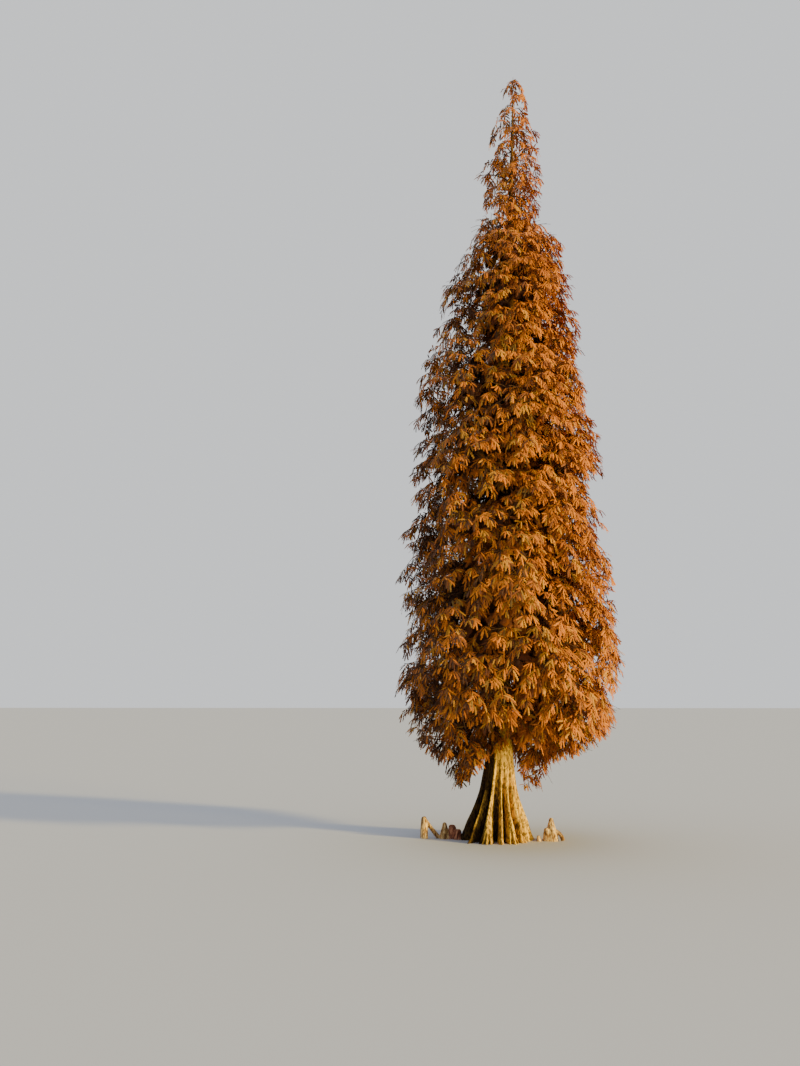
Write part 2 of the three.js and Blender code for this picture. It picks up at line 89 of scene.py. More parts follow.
KNEES = {  # cones are x, y, height, foot radius, top radius; arms are from, by, to, radius
    "knee_left_outer": {
        "cones": [(-0.825, -0.06, 0.24, 0.046, 0.025)],
        "arms": [((-0.805, -0.058, 0.19), (-0.735, -0.05, 0.095), (-0.655, -0.04, 0.005), 0.024)],
    },
    "knee_left_middle": {"cones": [(-0.59, -0.05, 0.178, 0.062, 0.012)], "arms": []},
    "knee_left_inner": {
        "cones": [(-0.508, -0.03, 0.15, 0.058, 0.034), (-0.444, -0.08, 0.11, 0.052, 0.03)],
        "arms": [],
    },
    "knee_right": {
        "cones": [(0.612, -0.06, 0.245, 0.078, 0.018), (0.56, -0.085, 0.14, 0.046, 0.024)],
        "arms": [((0.64, -0.066, 0.11), (0.7, -0.08, 0.078), (0.735, -0.092, 0.005), 0.022)],
    },
    "knee_right_small": {"cones": [(0.462, -0.12, 0.062, 0.026, 0.012)], "arms": []},
}

# The crown's outline, in more detail than the source has
NOTCH = {"at": -0.62, "half": 0.36, "deep": 0.3}  # in the underside, to let low light in to the trunk
HANGING_TUFTS = [(-2.68, 0.2), (-2.1, 0.15), (0.15, 0.25), (0.85, 0.22), (2.2, 0.22), (3.0, 0.2)]  # angle, half
BETWEEN_TUFTS = 0.2  # how much higher the underside is between those
FARTHEST = ((-1.2, -1.325, 0.5), (1.51, 1.38, HEIGHT))  # corners of the box that all keeps inside
SPRAY_MARGIN = [  # how far sprays may come out of the crown's outline, by height
    (0.6, 0.14), (0.76, 0.02), (1.05, 0.0), (1.3, 0.03), (1.6, 0.01), (2.6, 0.01), (4.0, 0.055), (6.9, 0.055),
    (7.2, 0.0), (7.4, -0.07), (7.7, -0.06), (8.0, 0.02), (8.3, 0.055), (8.8, 0.055), (9.6, 0.13),
]
TIP_MARGIN = (0.04, 0.03)  # how much less it is for twig tips, and its least
SIDE_MARGIN = 0.015  # how much less it is for side twigs
TIP_ROOM = (0.14, 0.07)  # how far tips may hang below the underside, and how clear of the bark they are
SIDE_ROOM = (0.17, 0.03)
SPRAY_ROOM = (0.21, 0.02)
INNER_SPRAYS = (-0.1, -0.08)  # how far these may come out of the outline, and below the underside

# Knots, where a limb's branches part into twigs, and the tuft of twigs round each
PLACES = 130000  # tried in the box between these corners
PLACES_BOX = ((-1.35, -1.4, 0.52), (1.5, 1.4, HEIGHT))
SMALLER = [(1.0, 1.0), (9.5, 0.6)]  # growth gets finer with height
UNDERSIDE_DEPTH = 0.8  # how deep a place is for each metre above the underside
FAR_FROM_LIMBS = {"far": 0.5, "less": 0.08}  # such a place counts as less deep
KNOT_SPACING = (0.47, 1.15)  # near the outside, and how many times that behind it
KNOT_VARY = (0.72, 1.25)
KNOT_DEPTH = (0.12, 0.26)
KNOT_OUT = (-0.26, 0.11)  # how far a knot's tuft keeps inside the crown's reach, or comes out of it
TIER = 1.45  # how much closer knots are above one another than beside
TUFT_LONG = 0.7  # the share of a distance outward that doesn't count within a tuft
OTHER_LIMB = 3.0  # added to the distance from another limb's knot
OVERHANG = {"out": 0.36, "tall": 0.32, "power": 1.6}  # a tuft comes farther out at its lower edge
GAP = {"deep": 0.34, "over": (0.18, 0.31), "power": 1.5}  # between tufts, by distance from the knot
RAGGED = (0.25, 1.25)  # how much of both there is on the crown's right and on its left
FULL_FOOT = [(0.9, 0.5), (2.1, 1.0)]  # less of both towards the crown's foot

# Branches and twigs
BRANCHES = {"from": 0.06, "to": 0.97, "back": 0.6, "vary": 0.03, "arch": 0.12, "thick": 0.42}
TWIGS = {"from": 0.15, "back": 0.5, "vary": 0.06}
TIP_SPACING = (0.135, 0.18, 0.2)  # between twig tips in the outer, middle and inner crown
TIP_LAYERS = (-0.13, 0.03, 0.26)  # depths at which they begin
OPEN_LEFT = {"over": (1.5, 4.5), "wider": 1.3}  # between tips on the left, fully so above that height
THIN_TOP = {"over": (7.72, 9.0), "wider": 2.3, "deepest": (9, 0.15), "last": 9.2}
LOW_TIPS = {"each": 5, "aside": 0.8, "out": (0.34, 0.66), "below": (0.0, 0.1)}  # of each hanging tuft
TIP_FALL = (0.2, 1.05)  # how steeply a twig falls at its tip, in radians
LEADER_TWIGS = {  # in leader lengths
    "below": (-3.3, 0.05, 20), "tuft": (0.45, 0.85, 6), "long": (0.75, 1.05), "fall": (0.2, 0.8),
    "arching": [  # foot, then the bend's and the tip's place from it
        (0.72, (0.12, -0.02, 0.02), (0.15, -0.03, -0.4)), (0.62, (-0.09, 0.0, 0.03), (-0.13, -0.02, -0.12)),
        (-0.4, (-0.22, -0.01, 0.06), (-0.33, -0.02, -0.5)), (-1.3, (0.19, -0.02, 0.13), (0.33, -0.03, -0.06)),
        (-2.5, (0.22, -0.02, 0.14), (0.38, -0.03, -0.14)), (-2.6, (-0.28, -0.01, 0.08), (-0.4, -0.02, -0.5)),
    ],
}
LIMB_ENDS = {"at": (0.97, 0.86), "bends": (-0.13, -0.05, 0.03)}  # twigs that carry each limb on
MOST_SIDES = (3, 2, 3)  # side twigs to a twig in the outer, middle and inner crown
LEADER_SIDES = {"most": 5, "from": 0.25, "short": 1}  # by the length of the leader's twig
SIDE_SPACING = 0.08
SIDE_LENGTH = 0.16
SIDE_SMALLER = 0.8  # at the top
SIDE_VARY = {
    "end": (0.8, 1.15), "long": (0.65, 1.1), "roll": (-0.6, 0.35), "open": (0.7, 1.2), "drop": (0.2, 0.8),
}
BRANCH_TIP = 0.004  # radius
TWIG_RADIUS = (0.0045, 0.0018)
SIDE_RADIUS = (0.0026, 0.001)

# Sprays. Three values are for the outer, middle and inner crown.
SPRAY_SPACING = (0.019, 0.022, 0.04)  # along a side twig, left and right in turn
SPRAY_LENGTH = (0.091, 0.108, 0.2)
SPRAY_HALF = (0.15, 0.18, 0.3)  # half width, as a share of the length
SPRAY_OPEN = (1.15, 0.55)  # angle from the side twig at its foot and its tip
SPRAY_VARY = {
    "roll": 0.25, "open": 0.16, "way": 0.1, "face": 0.25, "long": (0.78, 1.18), "half": (0.85, 1.15),
}
SPRAY_FALL = 0.27  # how much a spray turns down from the way it leaves its twig
SPRAY_SAG = (0.05, 0.5)  # fall of its tip, as a share of the length
WIDER_TOP = [(8.0, 1.0), (9.2, 1.1)]
NEEDLE_PAIRS = (5, 4, 3)
NEEDLE_FOOT = (2.0, 2.1, 2.4)  # width of a needle's foot, in the spacing of the needles on one side

# Toes, bark and knees
TOE_TOP = 0.3  # where ribs begin to part into toes
TOE_SPREAD = {"out": 0.03, "tall": 0.045}  # how far toes run out over the ground
TOES = (2, 2, 2, 2, 2, 2, 3, 2, 4, 1, 3, 2, 2)  # of each rib
TOE_FAN = (0.2, 0.2, 0.2, 0.2, 0.2, 0.2, 0.3, 0.3, 1.1, 0.1, 0.15, 0.2, 0.2)  # how much wider they make it
RIB_HALF = (10, 9, 10, 9, 10, 9, 8.5, 5.5, 5.2, 5.4, 8.4, 6, 7.2)  # half its width, in degrees
PAINTED_SHADE_SIDE = {"from": 168, "to": 247, "soft": 8, "lit_ridge": 230, "lit_ridge_half": 3.2}  # painted shade on the trunk's side away from the lamps, in degrees, with a ridge there left light
RIDGE = (230, 0.52, 1.0, 2.7)  # a thin one there: angle, share that it stands out, height, half width
LIT_RIDGE_RUN = [(0.13, 0), (0.2, 1), (0.5, 1), (0.62, 0)]  # the heights at which that ridge is left out of the painted shade, as painted light
VALLEY = 0.21  # how much deeper the grooves are than the source's, as a share of the radius
FOOT_END = 1.34
FOOT_RINGS = (30, 72)  # up to where the toes begin, and above
FOOT_BARK = [(0.35, 0.006), (0.75, 0.0025)]  # depth of its strips, by height
FOOT_FURROWS = [(0.5, 0.7), (0.9, 0.35)]  # how much they show in its colour
SHAFT_STEP = 0.055  # between its rings
SLIM = {"from": 9.2, "rings": 6}
AROUND = {"foot": 288, "shaft": 72, "limb": 10, "knee": 20, "arm": 12}  # corners of a ring
LIMB_RINGS = 34
KNEE_RINGS = [-0.1, 0, 0.06, 0.12, 0.2, 0.3, 0.4, 0.5, 0.6, 0.7, 0.78, 0.85]  # up to its rounded top
KNEE_TOP = {"from": 0.85, "tall": 0.15}
KNEE_FLARE = [(-0.1, 1), (0.12, 0.9), (0.5, 0.58), (0.85, 0.2)]
KNEE_MELT = 0.0065  # the size of the grid that melts its forms together


def lerp(low, high, share):
    return low + (high - low) * share


def share_of(value, start, end):
    """How far a value has come from start to end, from 0 to 1."""
    return np.clip((value - start) / (end - start), 0, 1)


def read(pairs, position):
    """Reads a list of (position, value) pairs at any positions, straight between them."""
    return np.interp(position, [p for p, _ in pairs], [v for _, v in pairs])


def unit(vectors):
    return vectors / np.maximum(np.linalg.norm(vectors, axis=-1, keepdims=True), 1e-12)


def less_along(vectors, way, share=1):
    """Vectors less that share of their run along a way."""
    return vectors - share * (vectors * way).sum(-1, keepdims=True) * way


def number_stream(seed):
    """A stream of numbers from 0 to 1, the same one that the part's source draws from."""
    mask = 0xFFFFFFFF
    state = seed & mask

    def draw():
        nonlocal state
        state = (state + 0x6D2B79F5) & mask
        mixed = ((state ^ (state >> 15)) * (state | 1)) & mask
        mixed ^= (mixed + (((mixed ^ (mixed >> 7)) * (mixed | 61)) & mask)) & mask
        return (mixed ^ (mixed >> 14)) / 4294967296

    return draw


def trunk_middle(z):
    """The trunk's middle line at heights z: it leans evenly and sways a little."""
    z = np.asarray(z, float)
    t = z / HEIGHT
    sway = SWAY["reach"] * np.sin(TAU * SWAY["waves"] * t) * np.minimum(1, 4 * t) * (1 - t)
    across = SWAY["across"] * SWAY["reach"] * np.sin(TAU * SWAY["across_waves"] * t) * (1 - t)
    return np.stack([LEAN_AT_TOP * t + sway, across, z], -1)


def round_trunk(points):
    """Each point's height, angle round the trunk's middle line and distance from it."""
    z = points[..., 2]
    away = points - trunk_middle(z)
    return z, np.arctan2(away[..., 1], away[..., 0]), np.hypot(away[..., 0], away[..., 1])


def outward_at(angle):
    return np.stack([np.cos(angle), np.sin(angle), 0 * angle], -1)


def leftward(angle):
    """From 0 on the crown's right to 1 on its left."""
    return 0.5 - 0.5 * np.cos(angle)


def crown_reach(z, angle):
    left = read([(at, low) for at, low, _ in CROWN_REACH], z)
    right = read([(at, high) for at, _, high in CROWN_REACH], z)
    return (left + right) / 2 + (right - left) / 2 * np.cos(angle)


def crown_floor(angle):
    """Height of the crown's underside by angle, lowest where tufts hang from it."""

    def beside(at, half):
        return np.exp(-((((angle - at + math.pi) % TAU - math.pi) / half) ** 2))

    side = np.cos(angle) ** 2
    plain = lerp(UNDERSIDE["front"], UNDERSIDE["sides"], side)
    ragged = BETWEEN_TUFTS * side * (1 - np.max([beside(at, half) for at, half in HANGING_TUFTS], axis=0))
    return plain + ragged + NOTCH["deep"] * beside(NOTCH["at"], NOTCH["half"])


def fits(points, beyond, below, clear):
    """Whether points lie in the crown's outline, or no farther than that beyond or below it, and as
    clear of the trunk's bark as that."""
    z, angle, out = round_trunk(points)
    held = ((points > FARTHEST[0]) & (points < FARTHEST[1])).all(-1)
    held &= (z > crown_floor(angle) - below) & (out < crown_reach(z, angle) + beyond)
    bark = np.maximum(read(SHAFT_RADIUS, z), np.where(z < FOOT_TOP, read(FOOT_RADIUS, z), 0))
    return held & ((out > bark + clear) | (z > SHAFT_TOP + clear))


class Limb:
    """A curve that rises from the trunk and bends down to its tip. The last one is the leader."""

    def __init__(self, index):
        self.index = index
        self.leader = index == LIMBS
        self.bough = index < BOUGHS
        if self.leader:
            self.share, self.length, self.root = 1.0, HEIGHT - SHAFT_TOP, trunk_middle(SHAFT_TOP)
            return
        draw = number_stream(SEED + LIMB_SEEDS * index)
        vary = lambda most: lerp(-most, most, draw())
        self.share = share = index / (LIMBS - 1)
        start = lerp(FIRST_LIMB, LAST_LIMB, share**CROWDING) + vary(VARY["start"])
        angle = FIRST_TURN + index * TURN + vary(VARY["angle"])
        self.rise = lerp(*RISE, share**0.7) + vary(VARY["rise"])
        self.droop = lerp(*DROOP, share) + vary(VARY["droop"])
        self.swerve = vary(VARY["swerve"])
        fullness = lerp(VARY["shortest"], 1, draw())
        length = crown_reach(start, angle) * fullness
        for _ in range(LENGTH_PASSES):
            length = crown_reach(start + length * (self.rise - self.droop), angle) * fullness
        self.length = length
        self.root = trunk_middle(start)
        self.outward = np.array([math.cos(angle), math.sin(angle), 0.0])
        self.sideways = np.cross(UP, self.outward)

    def at(self, s):
        s = np.asarray(s, float)[..., None]
        if self.leader:
            return self.root + s * np.array([*LEADER["lean"], self.length])
        bend = self.rise * s - self.droop * s**DROOP_POWER
        run = self.outward * s + self.sideways * self.swerve * s * s + UP * bend
        return self.root + self.length * run

    def along(self, s):
        s = np.asarray(s, float)
        return unit(self.at(s + 0.01) - self.at(np.maximum(s - 0.01, 0)))

    def radius(self, s):
        thick = lerp(*LIMB_RADIUS, self.share) * (LEADER["thinner"] if self.leader else 1)
        return thick * (1 - LIMB_TAPER * np.asarray(s, float))


limbs = [Limb(index) for index in range(LIMBS + 1)]
limb_lines = np.array([limb.at(np.arange(LIMB_STEPS + 1) / LIMB_STEPS) for limb in limbs])
line_starts, line_runs = limb_lines[:, :-1], np.diff(limb_lines, axis=1)
line_squares = (line_runs**2).sum(-1)


def distance_to_limbs(points, at_once=2000):
    """How far each point is from each limb."""
    found = np.empty((len(points), len(limbs)))
    for first in range(0, len(points), at_once):
        arm = points[first : first + at_once, None, None, :] - line_starts
        share = np.clip((arm * line_runs).sum(-1) / line_squares, 0, 1)
        found[first : first + at_once] = np.linalg.norm(arm - line_runs * share[..., None], axis=-1).min(-1)
    return found


def bend_at(bends, t):
    """Points on curves of three control points each: bends is (n, 3, 3) and t is (n, k)."""
    t = t[..., None]
    a, b, c = bends[:, None, 0], bends[:, None, 1], bends[:, None, 2]
    return (1 - t) ** 2 * a + 2 * t * (1 - t) * b + t * t * c


def bend_way(bends, t):
    t = t[..., None]
    a, b, c = bends[:, None, 0], bends[:, None, 1], bends[:, None, 2]
    return unit(2 * (1 - t) * (b - a) + 2 * t * (c - b))


def bend_lengths(bends):
    points = bend_at(bends, np.linspace(0, 1, 9)[None, :].repeat(len(bends), 0))
    return np.linalg.norm(np.diff(points, axis=1), axis=-1).sum(1)


def scatter(points, order, spacing):
    """Picks points in the order given, each at least its own spacing from all picked before it."""
    picks, chosen = [], np.empty((0, 3))
    for i in order:
        if len(chosen) and ((chosen - points[i]) ** 2).sum(1).min() < spacing[i] ** 2:
            continue
        chosen = np.append(chosen, points[i : i + 1], 0)
        picks.append(i)
    return np.array(picks)


def find_knots(points, depth, small, mixed_up, rng):
    """Knots, first close behind the crown's outside and then deeper."""
    shell = (depth > KNOT_DEPTH[0]) & (depth < KNOT_DEPTH[1])
    order = np.lexsort((mixed_up, ~shell))
    order = order[depth[order] > KNOT_DEPTH[0]]
    spacing = KNOT_SPACING[0] * small**0.5 * np.where(shell, 1, KNOT_SPACING[1])
    return scatter(points * [1, 1, TIER], order, spacing * rng.uniform(*KNOT_VARY, len(points)))


def nearest_knots(points, angle, small, owner, knots):
    """The knot that each point belongs to, how far it is from there and how far above."""
    arm = (points[:, None] - points[knots][None]) / small[:, None, None] ** 0.5
    across = less_along(arm, outward_at(angle)[:, None], TUFT_LONG) * [1, 1, TIER]
    far = np.linalg.norm(across, axis=-1) + OTHER_LIMB * (owner[:, None] != owner[knots][None])
    knot = far.argmin(1)
    return knot, far.min(1), arm[np.arange(len(points)), knot, 2]


def hanging_tips(rng):
    """The lowest twig tips, in the tufts that hang from the underside."""
    at, half = np.array(HANGING_TUFTS).repeat(LOW_TIPS["each"], 0).T
    angle = at + half * rng.uniform(-LOW_TIPS["aside"], LOW_TIPS["aside"], len(at))
    out = rng.uniform(*LOW_TIPS["out"], len(at))
    low = trunk_middle(crown_floor(angle) - rng.uniform(*LOW_TIPS["below"], len(at)))
    return low + out[:, None] * outward_at(angle)


def crown_places(rng):
    """Knots and twig tips, even over the crown's outside and more thinly spread inside it. Tips lie
    deeper where they are far from a limb and from a knot, which leaves hollows between tufts."""
    low, high = np.array(PLACES_BOX)
    points = low + (high - low) * rng.random((PLACES, 3))
    margin = np.maximum(read(SPRAY_MARGIN, points[:, 2]) - TIP_MARGIN[0], TIP_MARGIN[1])
    points = points[fits(points, margin, *TIP_ROOM)]
    z, angle, out = round_trunk(points)
    depth = np.minimum(crown_reach(z, angle) - out, UNDERSIDE_DEPTH * (z - crown_floor(angle)))
    from_limbs = distance_to_limbs(points)
    owner, own = from_limbs.argmin(1), from_limbs.min(1)
    small = read(SMALLER, z)
    depth = depth / small - FAR_FROM_LIMBS["less"] * share_of(own, 0, FAR_FROM_LIMBS["far"]) ** 1.5
    mixed_up = rng.random(len(points))

    knots = find_knots(points, depth, small, mixed_up, rng)
    out_by = rng.uniform(*KNOT_OUT, len(knots))
    knot, far, above = nearest_knots(points, angle, small, owner, knots)
    apart = read(FULL_FOOT, z) * lerp(*RAGGED, leftward(angle))
    depth += out_by[knot]
    depth -= apart * OVERHANG["out"] * np.clip(above / OVERHANG["tall"] + 0.5, 0, 1) ** OVERHANG["power"]
    depth -= apart * GAP["deep"] * share_of(far, *GAP["over"]) ** GAP["power"]

    layer = np.searchsorted(TIP_LAYERS, depth) - 1
    thin = share_of(z, *THIN_TOP["over"])
    layer[(depth > lerp(*THIN_TOP["deepest"], thin**0.2)) | (z > THIN_TOP["last"])] = -1
    order = np.lexsort((mixed_up, layer))
    spacing = np.array(TIP_SPACING)[np.maximum(layer, 0)] * small * lerp(1, THIN_TOP["wider"], thin)
    spacing *= lerp(1, OPEN_LEFT["wider"], share_of(z, *OPEN_LEFT["over"]) * leftward(angle) ** 2)
    tips = scatter(points, order[layer[order] >= 0], spacing)

    low = hanging_tips(rng)
    near = np.linalg.norm(low[:, None] - points[knots][None], axis=-1).argmin(1)
    return (
        points[knots], owner[knots], np.concatenate([points[tips], low]), np.concatenate([knot[tips], near]),
        np.concatenate([owner[tips], owner[knots][near]]), np.concatenate([layer[tips], 0 * near]),
    )


def grow_branches(limb, knots, rng):
    """Curved branches from a limb to its knots, and their radius at the foot."""
    places = np.linspace(BOUGH_SHARE + 0.02 if limb.bough else BRANCHES["from"], BRANCHES["to"], 60)
    near = np.linalg.norm(knots[:, None] - limb.at(places)[None], axis=-1)
    foot = places[near.argmin(1)] - BRANCHES["back"] * near.min(1) / limb.length
    foot = np.clip(foot + rng.uniform(-BRANCHES["vary"], BRANCHES["vary"], len(knots)), places[0], places[-1])
    starts = limb.at(foot)
    chord = knots - starts
    span = np.linalg.norm(chord, axis=1, keepdims=True)
    lift = unit(0.6 * unit(chord) + 0.4 * limb.along(foot)) * 0.5 * span + UP * BRANCHES["arch"] * span
    return np.stack([starts, starts + lift, knots], 1), limb.radius(foot) * BRANCHES["thick"] + 0.001


def grow_twigs(bends, tips, knot, rng):
    """Curved twigs from the branches to their tips, where they bend outward and down."""
    t = np.linspace(0.25, 1, 16)
    line = bend_at(bends, t[None].repeat(len(bends), 0))[knot]
    near = np.linalg.norm(tips[:, None] - line, axis=-1)
    foot = t[near.argmin(1)] - TWIGS["back"] * near.min(1) / np.maximum(bend_lengths(bends)[knot], 0.05)
    foot = np.clip(foot + rng.uniform(-TWIGS["vary"], TWIGS["vary"], len(tips)), TWIGS["from"], 1)
    starts = bend_at(bends[knot], foot[:, None])[:, 0]
    chord = tips - starts
    span = np.linalg.norm(chord, axis=1, keepdims=True)
    outward = unit(tips - trunk_middle(tips[:, 2]))
    fall = np.tan(rng.uniform(*TIP_FALL, len(tips)))[:, None]
    on = unit(unit(0.5 * outward + 0.5 * unit(chord * [1, 1, 0])) - UP * fall)
    return np.stack([starts, tips - on * 0.5 * span, tips], 1)


def grow_leader_twigs(limb, rng):
    """Arching twigs up the slim top of the trunk, and a small tuft of them round the leader's tip."""
    s = np.concatenate([np.linspace(*LEADER_TWIGS["below"]), np.linspace(*LEADER_TWIGS["tuft"])])
    z = SHAFT_TOP + s * limb.length
    angle = FIRST_TURN + TURN * np.arange(len(s)) + rng.uniform(-0.3, 0.3, len(s))
    outward = outward_at(angle)
    starts = np.where(s[:, None] > 0, limb.at(s), trunk_middle(z))
    long = (crown_reach(z, angle) * rng.uniform(*LEADER_TWIGS["long"], len(s)))[:, None]
    ends = starts + outward * long - UP * long * rng.uniform(*LEADER_TWIGS["fall"], len(s))[:, None]
    bends = np.stack([starts, starts + outward * 0.45 * long + UP * 0.55 * long, ends], 1)
    arching = [limb.at(np.array(s)) + [(0, 0, 0), by, to] for s, by, to in LEADER_TWIGS["arching"]]
    return np.concatenate([bends, arching])


def grow_side_twig(bend, t, side, small, rng):
    """A side twig from a place along a twig. It opens to that side and droops."""
    foot, way = bend_at(bend[None], t)[0, 0], bend_way(bend[None], t)[0, 0]
    across = unit(np.cross(way, UP) + 1e-6)
    roll = rng.uniform(*SIDE_VARY["roll"])
    across = across * math.cos(roll) + np.cross(across, way) * math.sin(roll)
    open_by = rng.uniform(*SIDE_VARY["open"])
    on = unit(way * math.cos(open_by) + side * across * math.sin(open_by) + UP * 0.1)
    long = SIDE_LENGTH * small * rng.uniform(*SIDE_VARY["long"])
    drop = rng.uniform(*SIDE_VARY["drop"]) * long
    return [foot, foot + on * long * 0.45, foot + on * long * 0.75 - UP * drop]


def grow_side_twigs(bends, layer, limb, rng):
    """Side twigs along twigs, left and right in turn, and the end of each twig as one more."""
    small = lerp(1, SIDE_SMALLER, limb.share)
    grown, layers = [], []
    for bend, run, deep in zip(bends, bend_lengths(bends), layer):
        if run < 0.02:
            continue
        size = SIDE_LENGTH * small * rng.uniform(*SIDE_VARY["end"])
        t0 = max(0.0, 1 - size / run)
        a, b = bend_at(bend[None], np.array([[t0, (1 + t0) / 2]]))[0]
        grown.append([a, 2 * b - (a + bend[2]) / 2, bend[2]])
        layers.append(deep)
        side = 1 if rng.random() < 0.5 else -1
        most = MOST_SIDES[deep]
        if limb.leader:
            most = LEADER_SIDES["most" if run > LEADER_SIDES["from"] else "short"]
        for i in range(most):
            t = 1 - (size * 0.55 + i * SIDE_SPACING * small) / run
            if t < 0.08:
                break
            grown.append(grow_side_twig(bend, np.array([[t]]), side, small, rng))
            layers.append(deep)
            side = -side
    grown, layers = np.array(grown), np.array(layers)
    keep = fits(grown[:, 2], read(SPRAY_MARGIN, grown[:, 2, 2]) - SIDE_MARGIN, *SIDE_ROOM)
    return grown[keep], layers[keep]


def wall_faces(rings, sides):
    """Quads of a closed wall over rings of points."""
    k = np.arange(sides)
    ring = np.arange(rings - 1)[:, None] * sides
    after = (k + 1) % sides
    quads = np.stack([ring + k, ring + after, ring + after + sides, ring + k + sides], -1)
    return quads.reshape(-1, 4)


def tubes(middles, ways, radius, sides):
    """Tapering tubes round lines. middles and ways are (lines, rings, 3), and radius is
    (lines, rings) or (lines, rings, sides). Gives the points and faces of all."""
    lines, rings = middles.shape[:2]
    side = unit(np.cross(ways, np.array([0.13, 0.21, 0.97])))
    top = np.cross(side, ways)
    turn = TAU * np.arange(sides) / sides
    radius = radius if radius.ndim == 3 else radius[:, :, None].repeat(sides, 2)
    points = (
        middles[:, :, None]
        + (radius * np.cos(turn))[..., None] * side[:, :, None]
        + (radius * np.sin(turn))[..., None] * top[:, :, None]
    )
    faces = wall_faces(rings, sides)[None] + (np.arange(lines) * sides * rings)[:, None, None]
    return points.reshape(-1, 3), faces.reshape(-1, 4)


def twig_tubes(bends, start_radius, end_radius, sides, rings):
    """Tubes round bends. A radius is one number, or one for each bend."""
    t = np.linspace(0, 1, rings)[None, :].repeat(len(bends), 0)
    start, end = (np.broadcast_to(r, len(bends))[:, None] for r in (start_radius, end_radius))
    return tubes(bend_at(bends, t), bend_way(bends, t), lerp(start, end, t), sides)


def joined(parts):
    """The points and faces of several meshes as one."""
    starts = np.cumsum([0] + [len(points) for points, _ in parts])
    faces = np.concatenate([faces + start for (_, faces), start in zip(parts, starts)])
    return np.concatenate([points for points, _ in parts]), faces


def hills(rng, turn, rise, around, up):
    """Smooth random hills from 0 to 1 on a wall. turn and rise run from 0 to 1, and turn closes."""
    grid = rng.random((around, up + 2))
    x, y = turn * around, np.clip(rise, 0, 1) * up
    i, j = np.floor(x).astype(int), np.floor(y).astype(int)
    x, y = x - i, y - j
    x, y = x * x * (3 - 2 * x), y * y * (3 - 2 * y)
    i, after = i % around, (i + 1) % around
    return lerp(lerp(grid[i, j], grid[after, j], x), lerp(grid[i, j + 1], grid[after, j + 1], x), y)


def strips(rng, turn, rise, around, up):
    """Bark in long strips, from 0 in a furrow to 1 on a strip, with smaller strips between."""
    sway = 0.9 / around * (hills(rng, turn, rise, max(around // 3, 3), up // 2) - 0.5)
    large = 1 - np.abs(2 * hills(rng, (turn + sway) % 1, rise, around, up) - 1)
    small = 1 - np.abs(2 * hills(rng, (turn - sway) % 1, rise, 2 * around, 2 * up) - 1)
    return np.clip(1 - 0.75 * large**3 - 0.35 * small**3, 0, 1)


def round_rib(off):
    """The height of a round rib at a share of its half width, from 1 on its crest to 0 beside it."""
    return np.sqrt(np.clip(1 - off**2, 0, 1))


def foot_radius(z, angle):
    """How far the bark stands from the middle line, by the source's ribs, which part into toes near
    the ground. Also gives how high in its groove or on its rib each point lies, from 0 to 1, for painted shade
    in the grooves."""
    turn = np.degrees(angle)
    radius, share = read(FOOT_RADIUS, z), np.clip(1 - z / GROOVE["top"], 0, 1)
    plainer = lerp(1, 0.12, np.clip((z - 0.42) / 0.5, 0, 1) ** 0.8)
    valley = VALLEY * share**0.5
    groove = GROOVE["depth"] * share**0.6 + valley
    parting = np.clip(1 - z / TOE_TOP, 0, 1) ** 0.8
    raised, high = np.zeros_like(z), np.zeros_like(z)
    ribs = [(*rib, *more) for rib, *more in zip(RIBS, RIB_HALF, TOES, TOE_FAN)]
    for at, out, top, half, toes, fan in ribs + [(*RIDGE, 1, 0.0)]:
        fade = np.clip(1 - z / top, 0, 1)
        stand = out * fade + valley
        wide = half * lerp(0.85, 1.1, fade**2) * (1 + fan * parting)
        for toe in range(toes):
            place = (toe + 0.5) / toes * 2 - 1
            middle = at + place * wide * parting
            narrow = wide * lerp(1, 1.05 / toes, parting)
            off = ((turn - middle + 180) % 360 - 180) / narrow
            less = 1 - 0.18 * abs(place) * parting
            raised = np.maximum(raised, stand * less * round_rib(off))
            high = np.maximum(high, round_rib(off))
    spread = TOE_SPREAD["out"] * high * np.exp(-z / TOE_SPREAD["tall"])
    return radius * (1 - (groove - raised) * plainer) + spread, lerp(1, high, share**0.4 * plainer)


def damp_share(turn, z, rng):
    """How much painted shade darkens the bark on the trunk's side away from the lamps, from 0 to 1. A ridge on
    that side is left light half way up, as painted light.
    """
    degrees = 360 * turn + 10 * (hills(rng, turn, 0 * turn, 24, 1) - 0.5)
    edge = np.minimum(degrees - PAINTED_SHADE_SIDE["from"], PAINTED_SHADE_SIDE["to"] - degrees) / PAINTED_SHADE_SIDE["soft"]
    # Painted light: a thin ridge in the shaded side keeps its colour, as if the lamps caught it.
    lit_ridge = round_rib((360 * turn - PAINTED_SHADE_SIDE["lit_ridge"]) / PAINTED_SHADE_SIDE["lit_ridge_half"]) * read(LIT_RIDGE_RUN, z)
    return np.clip(edge + 0.5, 0, 1) * (1 - 0.9 * lit_ridge)


def bark_grid(heights, around):
    """Heights, and shares of a turn, over a wall of bark."""
    return np.meshgrid(heights, np.arange(around) / around, indexing="ij")


def bark_wall(z, turn, out, relief, damp):
    """The wall's points, how high each stands in its bark and how much painted shade it takes, and how many
    rings.
    """
    points = trunk_middle(z) + out[..., None] * outward_at(TAU * turn)
    return points.reshape(-1, 3), relief.ravel(), damp.ravel(), len(z)


